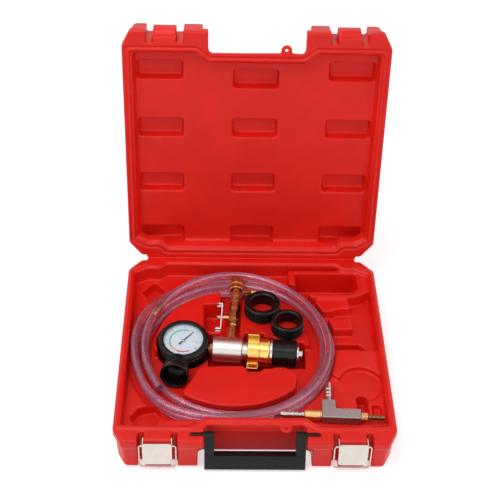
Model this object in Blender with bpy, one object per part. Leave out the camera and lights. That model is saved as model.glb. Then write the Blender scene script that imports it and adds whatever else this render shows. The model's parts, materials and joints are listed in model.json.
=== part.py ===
"""Coolant vacuum filler kit in its blow-moulded case, lid open.

Metres, +Z up, +X to the right and the front of the case towards -Y.
The origin is the middle of the flat underside of the case base.
The lid is built shut, above the base, and then opened on its hinge.
"""
import math

import bmesh
import bpy
from mathutils import Matrix, Vector

# Case, both halves
CASE_WIDTH = 0.350
CASE_REACH = 0.348
BASE_HEIGHT = 0.052
LID_HEIGHT = 0.042
LID_OPEN_ANGLE = 95.6
PARTING_GAP = 0.0003
BACK_EDGE_SETBACK = 0.0037
BACK_CHAMFER_X = 0.0175
BACK_CHAMFER_Y = 0.0216
FRONT_CHAMFER_X = 0.0114
FRONT_CHAMFER_Y = 0.022
BAND_HEIGHT = 0.0125
BAND_STEP = 0.003
WALL_DRAFT = 0.0022
FOOT_RADIUS = 0.0035
EDGE_RADIUS = 0.0015
CORNER_RADIUS = 0.006
SEAT_GAP = 0.0003
RUNNING_GAP = 0.0005
OVERRUN = 0.004
HALF_WIDTH = CASE_WIDTH / 2
HALF_REACH = CASE_REACH / 2

# Rim, seal bead and cavity of the base
RIM_SIDE = 0.0095
RIM_FRONT = 0.0275
RIM_BACK = 0.0103
RIM_BACK_CORNER = 0.0195
BEAD_SETBACK = 0.005
BEAD_WIDTH = 0.0024
BEAD_HEIGHT = 0.0016
GROOVE_CLEARANCE = 0.0006
TRAY_DRAFT = 0.0012
BLOCK_DRAFT = 0.002
FLOOR_HEIGHT = 0.031
COIL_FLOOR = 0.029
PLATFORM_HEIGHT = 0.044
RING_SEAT_HEIGHT = 0.038
SHELF_HEIGHT = 0.0383
LEDGE_HEIGHT = 0.048
POCKET_FLOOR = 0.012
SLOT_FLOOR = 0.020
STEP_FLOOR = 0.036
CORNER_POCKET_FLOOR = 0.016

# Handle recess, handle and its pins
RECESS_HALF_WIDTH = 0.0632
RECESS_DEPTH = 0.029
RECESS_STEP = 0.0075
RECESS_RADIUS = 0.006
HANDLE_PIVOT_SETBACK = 0.014
PIN_RADIUS = 0.0027
PIN_BELOW_RIM = 0.0005
PIN_LENGTH = 0.0165
HANDLE_ARM_WIDTH = 0.012
HANDLE_ARM_DEPTH = 0.011
HANDLE_ARM_END = 0.0045
HANDLE_REACH = 0.048
GRIP_HEIGHT = 0.021
GRIP_DEPTH = 0.0145
GRIP_RADIUS = 0.0035
HANDLE_LEAN = 12.0

# Padlock ears
EAR_X = 0.038
EAR_RADIUS = 0.0072
EAR_REACH = 0.0045
EAR_THICKNESS = 0.0035
EAR_HOLE_RADIUS = 0.0024

# Latches
LATCH_X = 0.1195
NOTCH_OUTER = 0.0243
NOTCH_INNER = 0.0165
NOTCH_DEPTH = 0.0165
BLOCK_SETBACK = 0.0012
BLOCK_LOWER_SETBACK = 0.0038
BLOCK_LOWER_HEIGHT = 0.034
BLOCK_RADIUS = 0.0035
LATCH_PIN_SETBACK = 0.0085
LATCH_PIN_DROP = 0.006
LATCH_PIN_RADIUS = 0.0015
PIN_CLEARANCE = 0.0005
LEVER_STANDOFF = 0.0105
LEVER_RISE = 0.005
LEVER_HEIGHT = 0.0335
LEVER_CORNER = 0.004
LEVER_HALF_WIDTH = 0.0181
SHEET = 0.0012
LEVER_CURL = 0.0022
EAR_TAIL = 0.0032
EAR_SHOULDER = 0.0025
BAIL_FORWARD = 0.007
BAIL_DROP = 0.003
BAIL_LENGTH = 0.038
BAIL_HALF_WIDTH = 0.0225
WIRE_RADIUS = 0.0011
BAIL_CORNER = 0.005
CATCH_HALF_WIDTH = 0.0152
CATCH_SETBACK = 0.0022
CATCH_ROOT_SETBACK = 0.0085
CATCH_LOW = 0.012
CATCH_HIGH = 0.0287

# Living hinge and the stop feet behind it
HINGE_HALF_LENGTH = 0.150
WEB_THICKNESS = 0.0009
STOP_X = 0.105
STOP_WIDTH = 0.018
STOP_NEAR = 0.0025
STOP_FAR = 0.0095
STOP_ROOT = 0.024

# Lid lining
LID_CAVITY = 0.026
LID_CAVITY_DRAFT = 0.007
LID_STEP_DEPTH = 0.006
LID_STEP_INSET = 0.0035
LID_POCKET_WIDTH = 0.0612
LID_POCKET_HEIGHT = 0.0278
LID_POCKET_DEPTH = 0.009
LID_POCKET_DRAFT = 0.0018
LID_POCKET_RADIUS = 0.004
LID_POCKET_PITCH_X = 0.1268
LID_POCKET_ROW = 0.0305
LID_POCKET_PITCH_Y = 0.0855
LID_POCKET_TOP_DROP = 0.0122
LID_POCKET_ROWS = 4

# Tray lay-out
TRAY_HALF_WIDTH = 0.175
TRAY_HALF_REACH = 0.174
COIL_X = -0.0255
COIL_Y = 0.007
TRAY_INNER_RADIUS = 0.105
RING_PLATFORM_RADIUS = 0.102
FRONT_PLATFORM_RADIUS = 0.1135
ROOM_SIDES = 60
CHANNEL_FLOOR = 0.0134
NUT_POCKET_FLOOR = 0.0046
GAUGE_RECESS_FLOOR = 0.0121
LEVER_POCKET_FLOOR = 0.017
GAUGE_RECESS_CLEARANCE = 0.0025

# Vacuum tester; its own X runs along the body, Y along the valve and Z out of the dial
TESTER_X = -0.034
TESTER_Y = 0.0042
TESTER_Z = 0.034
TESTER_YAW = -4.5
TESTER_ROLL = 8.0
BODY_RADIUS = 0.017
BODY_LENGTH = 0.0399
BODY_CHAMFER = 0.001
NECK_RADIUS = 0.0125
NECK_LENGTH = 0.0066
DRAW_TUBE_RADIUS = 0.0076
DRAW_TUBE_BORE = 0.0035
DRAW_TUBE_SEAT = 0.010
TUBE_CLEARANCE = 0.0005
NUT_LENGTH = 0.0298
NUT_RADIUS = 0.0202
NUT_LUGS = 6
NUT_LUG_RADIUS = 0.0285
NUT_LUG_HALF_ANGLE = 10.0
NUT_LUG_LENGTH = 0.0153
NUT_LUG_PHASE = 43.5
NUT_CHAMFER = 0.0012
WASHER_RADIUS = 0.0196
WASHER_THICKNESS = 0.003
PLUG_LENGTH = 0.032
PLUG_RADIUS = 0.0182
PLUG_WAIST = 0.0176
END_WASHER_RADIUS = 0.013
END_WASHER_THICKNESS = 0.0025
END_STEM_RADIUS = 0.0063
END_STEM_LENGTH = 0.0052

# Gauge
BOOT_RADIUS = 0.034
BOOT_TOP = 0.0185
BOOT_BOTTOM = 0.017
BOOT_WALL = 0.003
BOOT_LIP = 0.0012
BOOT_WINDOW = 0.0262
BOOT_RIB_DEPTH = 0.0009
BOOT_BEVEL = 0.002
GAUGE_BODY_GAP = 0.0053
GAUGE_CASE_WALL = 0.0013
GAUGE_CASE_TOP = 0.015
LENS_THICKNESS = 0.0016
DIAL_RADIUS = 0.0285
DIAL_THICKNESS = 0.0009
DIAL_TOP = 0.0136
SPINDLE_RADIUS = 0.0007
SPINDLE_CLEARANCE = 0.0004
NEEDLE_HUB_RADIUS = 0.0024
NEEDLE_HUB_HEIGHT = 0.001
NEEDLE_TIP = 0.0185
NEEDLE_TAIL = 0.0075
NEEDLE_THICKNESS = 0.0005
NEEDLE_WIDTH = 0.0016
NEEDLE_REST_ANGLE = 52.0
MOVEMENT_RADIUS = 0.0045
MOVEMENT_ARM_HALF = 0.004
BOURDON_RADIUS = 0.019
BOURDON_HALF_HEIGHT = 0.003
BOURDON_HALF_THICKNESS = 0.001
BOURDON_START = 15.0
BOURDON_END = 285.0
STEM_RADIUS = 0.006
STEM_THREAD_RADIUS = 0.0047
STEM_THREAD_LENGTH = 0.0055
STEM_HEX_RADIUS = 0.0073
STEM_INNER_REACH = 0.0205

# Shut-off valve and quick coupler
VALVE_X = 0.004
VALVE_TUBE_RADIUS = 0.0049
VALVE_TUBE_ROOT = 0.0123
VALVE_TUBE_END = 0.044
VALVE_BORE = 0.0029
VALVE_HEX_RADIUS = 0.0082
VALVE_HEX_LENGTH = 0.0055
VALVE_BODY_RADIUS = 0.0075
VALVE_BODY_LENGTH = 0.0162
BALL_RADIUS = 0.0046
BALL_BORE = 0.0026
BALL_CLEARANCE = 0.0005
BALL_Y = 0.0555
GLAND_RADIUS = 0.0033
GLAND_REACH = 0.0135
LEVER_STEM_RADIUS = 0.0015
LEVER_STEM_REACH = 0.0215
LEVER_PLATE_X = 0.0161
LEVER_ARM = 0.0195
LEVER_WIDTH = 0.0076
LEVER_TAB = 0.0078
LEVER_TILT = 14.0
LEVER_NUT_RADIUS = 0.0034
LEVER_NUT_LENGTH = 0.0048
COUPLER_NECK_RADIUS = 0.0062
COUPLER_NECK_LENGTH = 0.016
COUPLER_RING_RADIUS = 0.0077
COUPLER_RING_LENGTH = 0.0175
COUPLER_GROOVE = 0.0009
COUPLER_NOSE_RADIUS = 0.0061
COUPLER_NOSE_LENGTH = 0.0235
SLEEVE_RADIUS = 0.0096
SLEEVE_LENGTH = 0.0216
SLEEVE_TRAVEL = 0.004
SLEEVE_RIBS = 12

# Rubber adapters
LARGE_RING_X = 0.0137
LARGE_RING_Y = 0.0745
LARGE_RING_RADIUS = 0.025
LARGE_RING_BORE = 0.0165
SMALL_RING_X = 0.0469
SMALL_RING_Y = 0.0396
SMALL_RING_RADIUS = 0.0222
SMALL_RING_BORE = 0.0156
RING_HEIGHT = 0.019
RING_RIBS = 4
RING_RIB_DEPTH = 0.0011
CUP_X = -0.1029
CUP_Y = -0.061
CUP_YAW = -7.0
CUP_LENGTH = 0.031
CUP_MOUTH_RADIUS = 0.0189
CUP_BACK_RADIUS = 0.0145
CUP_WALL = 0.0026
CUP_BACK_BORE = 0.0105
CUP_RIBS = 5
CUP_RIB_DEPTH = 0.001

# Hose
HOSE_DIAMETER = 0.010
HOSE_BORE_RADIUS = 0.0033
HOSE_LAYER_RISE = 0.0107
HOSE_CLIMB_START = 825.0
HOSE_CLIMB_END = 900.0
HOSE_POINTS_PER_TURN = 24
HOSE_SIDES = 8
HOSE_BORE_SIDES = 6
FITTING_BARB_RADIUS = 0.0024
FITTING_BARB_LENGTH = 0.020
FITTING_HEX_RADIUS = 0.0056
FITTING_HEX_LENGTH = 0.0085
FITTING_NOSE_RADIUS = 0.0040
FITTING_NOSE_LENGTH = 0.007
JOINER_RADIUS = 0.0021
JOINER_LENGTH = 0.024
JOINER_SHARE = 0.918

# Venturi
VENTURI_X = 0.084
VENTURI_Y = -0.1228
VENTURI_Z = 0.045
VENTURI_YAW = -2.5
BLOCK_LENGTH = 0.0485
BLOCK_DEPTH = 0.0155
BLOCK_THICKNESS = 0.0128
LEG_LENGTH = 0.0175
LEG_REACH = 0.0145
BLOCK_BEVEL = 0.0008
COLLAR_LENGTH = 0.0185
COLLAR_RADIUS = 0.0064
COLLAR_NECK_LENGTH = 0.003
COLLAR_NECK_RADIUS = 0.0045
NIPPLE_LENGTH = 0.030
NIPPLE_RADIUS = 0.0047
NIPPLE_WAIST = 0.0029
AIR_NIPPLE_LENGTH = 0.033
# Nipple outline, from its tip, as shares of its length and its radius
NIPPLE_PROFILE_SHARES = (
    (0, 0.62), (0.06, 0.80), (0.26, 0.80), (0.30, 0.66), (0.42, 0.66), (0.46, 0.86),
    (0.56, 0.86), (0.58, 0.70), (0.86, 0.70), (0.88, 1.0), (1.0, 1.0),
)
OUTLET_HEX_RADIUS = 0.0055
OUTLET_HEX_LENGTH = 0.0085
TAIL_LENGTH = 0.0205
TAIL_RADIUS = 0.0035
TAIL_WAIST = 0.0026
TAIL_BARBS = 4
PORT_BORE = 0.0018
AIR_PORT_RADIUS = 0.0014

# Lay of the hose: winding angle in degrees, distance from the coil's centre
HOSE_LAY = (
    (87.0, 0.1115), (180.0, 0.1177), (270.0, 0.1204), (310.0, 0.1215), (360.0, 0.1195), (425.0, 0.1262),
    (445.0, 0.1268),
    (505.0, 0.1264), (540.0, 0.1285), (565.0, 0.1330), (582.0, 0.1400), (596.0, 0.1450),
    (606.0, 0.1405), (617.0, 0.1342),
    (640.0, 0.1325), (670.0, 0.1325), (720.0, 0.1303), (760.0, 0.1346), (785.0, 0.1372),
    (805.0, 0.1382), (855.0, 0.1380),
    (885.0, 0.1340), (905.0, 0.1312), (925.0, 0.1345), (943.0, 0.1430), (956.0, 0.1465),
    (966.0, 0.1415), (977.0, 0.1342),
    (1000.0, 0.1325), (1030.0, 0.1320), (1060.0, 0.1280), (1080.0, 0.1262), (1110.0, 0.1262),
    (1140.0, 0.1310),
    (1160.0, 0.1375), (1177.0, 0.1395), (1195.0, 0.1345), (1215.0, 0.1265), (1235.0, 0.1208),
    (1255.0, 0.1186),
    (1275.0, 0.1188), (1297.0, 0.1250),
)

# Edge of the sunk room for the hose: angle in degrees, distance from the coil's centre
ROOM_LAY = (
    (0.0, 0.1365), (20.0, 0.1388), (40.0, 0.1412), (65.0, 0.1437), (90.0, 0.1450), (200.0, 0.1450),
    (215.0, 0.1480),
    (236.0, 0.1535), (250.0, 0.1500), (270.0, 0.1440), (300.0, 0.1420), (330.0, 0.1385),
    (345.0, 0.1368), (360.0, 0.1365),
)

# Facets
FACETS = 32
SMALL_FACETS = 12
CORNER_STEPS = 3

# Tray outlines as shares of the half width and the half reach of the tray
FRONT_PLATFORM_SHARES = (
    (-0.520, -0.460), (-0.470, -0.365), (-0.411, -0.230), (-0.377, -0.213),
    (-0.086, -0.204), (-0.051, -0.230), (-0.051, -0.299), (0.034, -0.299),
    (0.046, -0.259), (0.074, -0.230), (0.137, -0.227), (0.160, -0.213),
    (0.234, -0.210), (0.286, -0.253), (0.320, -0.310), (0.303, -0.425),
)
FRONT_PLATFORM_ARC = (305.0, 236.0)
LEFT_PLATFORM_ARC = (100.0, 187.0)
LEFT_PLATFORM_SHARES = ((-0.700, -0.035), (-0.251, -0.035))
RING_PLATFORM_ARC = (74.0, 2.0)
RING_PLATFORM_SHARES = ((-0.097, 0.040), (-0.097, 0.557), (-0.057, 0.580))
CHANNEL_SHARES = (
    (-0.349, -0.138), (0.400, -0.150), (0.400, 0.063), (0.388, 0.098),
    (0.270, 0.102), (0.173, 0.110), (0.173, 0.150), (-0.349, 0.150),
)
NUT_POCKET_SHARES = ((-0.068, -0.175), (0.094, -0.175), (0.094, 0.192), (-0.068, 0.192))
LEVER_POCKET_SHARES = ((-0.383, 0.172), (-0.202, 0.172), (-0.202, 0.490), (-0.383, 0.490))
RIGHT_PLATFORM_SHARES = (
    (0.588, -0.284), (0.637, -0.325), (0.700, -0.400), (0.900, -0.400), (0.950, -0.330),
    (0.950, -0.032), (0.621, -0.032),
)
BACK_BLOCK_SHARES = (
    (0.500, 0.540), (0.531, 0.416), (0.645, 0.416), (0.655, 0.440), (0.778, 0.446), (0.762, 0.548)
)
SIDE_BLOCK_SHARES = ((0.592, 0.334), (0.623, 0.205), (0.774, 0.205), (0.766, 0.334))
BACK_SHELF_SHARES = (
    (0.300, 0.557), (0.800, 0.557), (0.860, 0.580), (0.950, 0.640), (0.950, 0.885), (0.300, 0.885),
)
SHELF_SHARES = (
    (0.120, -0.640), (0.300, -0.560), (0.480, -0.330), (0.640, -0.190),
    (0.937, -0.190), (0.937, -0.770), (0.120, -0.770),
)
LEDGE_SHARES = (
    (-0.675, -0.850), (-0.645, -0.795), (-0.590, -0.770), (-0.420, -0.772), (-0.380, -0.800),
    (-0.380, -0.850),
)
SLOT_SHARES = ((0.600, -0.030), (0.862, -0.030), (0.870, 0.060), (0.830, 0.118), (0.600, 0.118))
BACK_POCKET_SHARES = (
    (0.384, 0.596), (0.800, 0.596), (0.852, 0.660), (0.852, 0.845), (0.348, 0.845), (0.348, 0.690)
)
BIT_SLOT_SHARES = (
    (0.743, -0.702), (0.829, -0.702), (0.829, -0.480), (0.811, -0.460), (0.760, -0.460), (0.743, -0.480)
)
CORNER_SLOT_SHARES = ((0.850, -0.560), (0.925, -0.560), (0.925, -0.700), (0.850, -0.700))
BACK_CORNER_SHARES = ((-0.886, 0.710), (-0.789, 0.836), (-0.686, 0.713), (-0.815, 0.589))
FRONT_CORNER_SHARES = (
    (-0.900, -0.650), (-0.840, -0.560), (-0.720, -0.530), (-0.665, -0.590), (-0.690, -0.720),
    (-0.730, -0.775),
    (-0.850, -0.780),
)
ROUND_RECESS_SHARE = (0.789, -0.368)
ROUND_RECESS_RADIUS = 0.0285


def material(name, colour, roughness, metallic=0.0, alpha=1.0):
    """A Principled material with one colour."""
    made = bpy.data.materials.new(name)
    made.use_nodes = True
    shader = made.node_tree.nodes["Principled BSDF"]
    shader.inputs["Base Color"].default_value = (*colour, 1.0)
    shader.inputs["Roughness"].default_value = roughness
    shader.inputs["Metallic"].default_value = metallic
    shader.inputs["Alpha"].default_value = alpha
    return made


def mesh_of(form):
    """Turn a bmesh into a mesh with its faces pointing out."""
    bmesh.ops.recalc_face_normals(form, faces=form.faces)
    mesh = bpy.data.meshes.new("form")
    form.to_mesh(mesh)
    form.free()
    return mesh


def prism(outline, low, high, axis="Z"):
    """A straight solid over an outline, along Z, or along X or Y from the two other axes."""
    form = bmesh.new()
    turn = {
        "Z": Matrix.Identity(3),
        "X": Matrix(((0, 0, 1), (1, 0, 0), (0, 1, 0))),
        "Y": Matrix(((1, 0, 0), (0, 0, 1), (0, 1, 0))),
    }[axis]
    ends = [[form.verts.new(turn @ Vector((u, v, w))) for u, v in outline] for w in (low, high)]
    form.faces.new(ends[0])
    form.faces.new(ends[1])
    count = len(outline)
    for i in range(count):
        j = (i + 1) % count
        form.faces.new((ends[0][i], ends[0][j], ends[1][j], ends[1][i]))
    return form


def loft(levels):
    """A solid through outlines of equal point counts, each with its height."""
    form = bmesh.new()
    rings = [[form.verts.new((x, y, z)) for x, y in outline] for outline, z in levels]
    form.faces.new(rings[0])
    form.faces.new(rings[-1])
    count = len(rings[0])
    for low, high in zip(rings, rings[1:]):
        for i in range(count):
            j = (i + 1) % count
            form.faces.new((low[i], low[j], high[j], high[i]))
    return form


def turned(profile, facets=FACETS, turn=None, phase=0.0):
    """A solid turned about X from (place, radius) pairs; pairs at radius zero close its ends."""
    form = bmesh.new()
    rings = []
    for place, radius in profile:
        if radius == 0:
            rings.append([form.verts.new((place, 0, 0))])
            continue
        angles = [2 * math.pi * i / facets + phase for i in range(facets)]
        rings.append([form.verts.new((place, radius * math.cos(a), radius * math.sin(a))) for a in angles])
    closed = len(rings[0]) > 1
    pairs = list(zip(rings, rings[1:]))
    if closed:
        pairs.append((rings[-1], rings[0]))
    for low, high in pairs:
        for i in range(facets):
            j = (i + 1) % facets
            if len(low) == 1:
                form.faces.new((low[0], high[j], high[i]))
            elif len(high) == 1:
                form.faces.new((low[i], low[j], high[0]))
            else:
                form.faces.new((low[i], low[j], high[j], high[i]))
    if turn:
        form.transform(turn)
    return form


def rod(low, high, radius, facets=SMALL_FACETS, turn=None):
    """A plain round bar along X."""
    return turned([(low, 0), (low, radius), (high, radius), (high, 0)], facets, turn)


ALONG_Y = Matrix.Rotation(math.radians(90), 4, "Z")
ALONG_Z = Matrix.Rotation(math.radians(-90), 4, "Y")


def box(low, high):
    """A box between two corners."""
    outline = [(low[0], low[1]), (high[0], low[1]), (high[0], high[1]), (low[0], high[1])]
    return prism(outline, low[2], high[2])


def rounded(outline, radius, steps=CORNER_STEPS):
    """Fillet every corner of an outline, limited by half of its shorter side."""
    made = []
    count = len(outline)
    for i in range(count):
        before, corner, after = (Vector(outline[k % count]) for k in (i - 1, i, i + 1))
        into, out = (before - corner), (after - corner)
        half_angle = into.angle(out) / 2
        if half_angle > math.radians(86):
            made.append(tuple(corner))
            continue
        reach = min(radius / math.tan(half_angle), into.length / 2.05, out.length / 2.05)
        start, end = corner + into.normalized() * reach, corner + out.normalized() * reach
        for k in range(steps + 1):
            t = k / steps
            point = start.lerp(corner, t).lerp(corner.lerp(end, t), t)
            made.append(tuple(point))
    return made


def inset(outline, distance):
    """Move every side of a counter-clockwise outline inwards by a distance."""
    made = []
    count = len(outline)
    for i in range(count):
        before, corner, after = (Vector(outline[k % count]) for k in (i - 1, i, i + 1))
        into, out = (corner - before).normalized(), (after - corner).normalized()
        normal_in, normal_out = Vector((-into.y, into.x)), Vector((-out.y, out.x))
        both = (normal_in + normal_out).normalized()
        made.append(tuple(corner + both * (distance / max(both.dot(normal_in), 0.3))))
    return made


def stepped_in(corners, distance, radius, steps=CORNER_STEPS):
    """An outline moved inwards and then filleted."""
    return rounded(inset(corners, distance), radius, steps)


def arc(centre, radius, start, end, steps):
    """Points along an arc, angles in degrees."""
    made = []
    for i in range(steps + 1):
        angle = math.radians(start + (end - start) * i / steps)
        made.append((centre[0] + radius * math.cos(angle), centre[1] + radius * math.sin(angle)))
    return made


def placed(shares):
    """Outline points from shares of the tray's half width and half reach."""
    return [(x * TRAY_HALF_WIDTH, y * TRAY_HALF_REACH) for x, y in shares]


def counter_clockwise(outline):
    """The outline with its points in counter-clockwise order."""
    area = sum(a[0] * b[1] - b[0] * a[1] for a, b in zip(outline, outline[1:] + outline[:1]))
    return outline if area > 0 else outline[::-1]


def add_object(name, form, finish, parent=None, place=None, smooth=35.0):
    """A named object from a bmesh, with its origin at its parent or at a place."""
    made = bpy.data.objects.new(name, mesh_of(form))
    made.data.materials.append(finish)
    made.data.shade_smooth()
    made.data.set_sharp_from_angle(angle=math.radians(smooth))
    bpy.context.scene.collection.objects.link(made)
    if parent:
        made.parent = parent
    if place:
        made.location = place
    return made


def combine(target, form, operation):
    """Cut, join or keep a tool shape with EXACT, and drop the tool."""
    tool = bpy.data.objects.new("tool", mesh_of(form))
    tool.hide_render = True
    tool.display_type = "WIRE"
    bpy.context.scene.collection.objects.link(tool)
    tool.matrix_world = target.matrix_world.copy()
    step = target.modifiers.new("step", "BOOLEAN")
    step.operation = operation
    step.solver = "EXACT"
    step.object = tool
    bpy.context.view_layer.update()
    tool.matrix_world = target.matrix_world.copy()
    bpy.context.view_layer.update()
    result = bpy.data.meshes.new_from_object(target.evaluated_get(bpy.context.evaluated_depsgraph_get()))
    target.modifiers.remove(step)
    target.data = result
    bpy.data.objects.remove(tool)


def cut(target, form):
    """Take a shape away."""
    combine(target, form, "DIFFERENCE")


def join(target, form):
    """Fuse a shape on."""
    combine(target, form, "UNION")


def frame_empty(name, place, yaw=0.0, roll=0.0, parent=None):
    """An empty that carries pieces on one joint or one place."""
    made = bpy.data.objects.new(name, None)
    bpy.context.scene.collection.objects.link(made)
    if parent:
        made.parent = parent
    made.rotation_euler = (math.radians(roll), 0, math.radians(yaw))
    made.location = place
    bpy.context.view_layer.update()
    return made


HINGE_Y = HALF_REACH
FRONT_Y = -HALF_REACH
BACK_Y = HINGE_Y - BACK_EDGE_SETBACK
LATCH_CENTRES = (-LATCH_X, LATCH_X)


def case_corners():
    """Outer plan of both halves at the parting plane, counter-clockwise from the front left."""
    return [
        (-HALF_WIDTH + FRONT_CHAMFER_X, FRONT_Y),
        (HALF_WIDTH - FRONT_CHAMFER_X, FRONT_Y),
        (HALF_WIDTH, FRONT_Y + FRONT_CHAMFER_Y),
        (HALF_WIDTH, BACK_Y - BACK_CHAMFER_Y),
        (HALF_WIDTH - BACK_CHAMFER_X, BACK_Y),
        (-HALF_WIDTH + BACK_CHAMFER_X, BACK_Y),
        (-HALF_WIDTH, BACK_Y - BACK_CHAMFER_Y),
        (-HALF_WIDTH, FRONT_Y + FRONT_CHAMFER_Y),
    ]


def cavity_corners():
    """Inner edge of the rim, counter-clockwise from the front left."""
    side = HALF_WIDTH - RIM_SIDE
    front = FRONT_Y + RIM_FRONT
    recess = FRONT_Y + RECESS_DEPTH + RIM_BACK + BAND_STEP / 2
    back = BACK_Y - RIM_BACK
    corner_back = BACK_Y - RIM_BACK_CORNER
    jog = RECESS_HALF_WIDTH + RECESS_RADIUS
    hinge_block = HALF_WIDTH - BACK_CHAMFER_X * 2 - RIM_BACK_CORNER
    return [
        (-side, front), (-jog - RIM_BACK, front), (-jog + RECESS_RADIUS, recess),
        (jog - RECESS_RADIUS, recess), (jog + RIM_BACK, front), (side, front),
        (side, corner_back - RIM_BACK), (side - BACK_CHAMFER_X, corner_back),
        (hinge_block + RIM_SIDE, corner_back),
        (hinge_block, back), (-hinge_block, back), (-hinge_block - RIM_SIDE, corner_back),
        (-side + BACK_CHAMFER_X, corner_back), (-side, corner_back - RIM_BACK),
    ]


def shell_levels(edge, band, root, direction):
    """Outer levels of one half, from its flat side to the parting plane, as outlines with heights."""
    corners = case_corners()
    full = BAND_STEP + WALL_DRAFT
    steps = [
        (full + FOOT_RADIUS, root),
        (full + FOOT_RADIUS / 3, root + direction * FOOT_RADIUS / 3),
        (full, root + direction * FOOT_RADIUS),
        (BAND_STEP, edge - direction * (band + EDGE_RADIUS)),
        (0, edge - direction * band),
        (0, edge - direction * EDGE_RADIUS),
        (EDGE_RADIUS, edge),
    ]
    return [(stepped_in(corners, depth, CORNER_RADIUS), height) for depth, height in steps]


def latch_cuts(half, low, high):
    """Open the two notches beside each latch block."""
    for centre in LATCH_CENTRES:
        for side in (-1, 1):
            a, b = sorted((centre + side * NOTCH_INNER, centre + side * NOTCH_OUTER))
            cut(half, box((a, FRONT_Y - OVERRUN, low), (b, FRONT_Y + NOTCH_DEPTH, high)))


def recess_cut(half, low, high, extra):
    """Open the finger recess behind the handle."""
    wide = RECESS_HALF_WIDTH + extra
    deep = FRONT_Y + RECESS_DEPTH + extra / 2
    corners = [(-wide, FRONT_Y - OVERRUN), (wide, FRONT_Y - OVERRUN), (wide, deep), (-wide, deep)]
    cut(half, prism(rounded(corners, RECESS_RADIUS), low, high))


def padlock_ear(half, low, high):
    """A half-round ear with a padlock hole, standing into the recess."""
    centre = (EAR_X, FRONT_Y + RECESS_DEPTH - EAR_REACH)
    outline = arc(centre, EAR_RADIUS, 180, 360, 8)
    root = FRONT_Y + RECESS_DEPTH + EAR_REACH
    outline += [(EAR_X + EAR_RADIUS, root), (EAR_X - EAR_RADIUS, root)]
    join(half, prism(outline, low, high))
    hole = arc(centre, EAR_HOLE_RADIUS, 0, 330, SMALL_FACETS - 1)
    cut(half, prism(hole, low - OVERRUN, high + OVERRUN))


def stop_foot(half, sign):
    """Feet behind the hinge; those of lid and base meet when the lid is fully open."""
    contact = math.radians(LID_OPEN_ANGLE / 2)
    along = Vector((math.cos(contact), sign * math.sin(contact)))
    away = Vector((-math.sin(contact), sign * math.cos(contact))) * (PARTING_GAP / 2)
    near, far = along * STOP_NEAR + away, along * STOP_FAR + away
    inner = -BACK_EDGE_SETBACK - BAND_STEP - RIM_BACK / 2
    corners = [
        (HINGE_Y + near.x, BASE_HEIGHT + near.y),
        (HINGE_Y + far.x, BASE_HEIGHT + far.y),
        (HINGE_Y + far.x, BASE_HEIGHT + far.y + sign * STOP_FAR / 2),
        (HINGE_Y + inner, BASE_HEIGHT + sign * STOP_ROOT),
        (HINGE_Y + inner, BASE_HEIGHT + near.y),
    ]
    for side in (-1, 1):
        middle = side * STOP_X
        join(half, prism(corners, middle - STOP_WIDTH / 2, middle + STOP_WIDTH / 2, "X"))


def seal_ring(half_width, low, high):
    """A flat-sided ring that runs round the rim of the cavity."""
    corners = cavity_corners()
    ends = []
    form = bmesh.new()
    for distance in (-BEAD_SETBACK - half_width, -BEAD_SETBACK + half_width):
        outline = stepped_in(corners, distance, CORNER_RADIUS)
        ends.append([[form.verts.new((x, y, z)) for x, y in outline] for z in (low, high)])
    (outer_low, outer_high), (inner_low, inner_high) = ends
    count = len(outer_low)
    for i in range(count):
        j = (i + 1) % count
        form.faces.new((outer_low[i], outer_low[j], outer_high[j], outer_high[i]))
        form.faces.new((outer_high[i], outer_high[j], inner_high[j], inner_high[i]))
        form.faces.new((inner_high[i], inner_high[j], inner_low[j], inner_low[i]))
        form.faces.new((inner_low[i], inner_low[j], outer_low[j], outer_low[i]))
    return form


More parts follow.
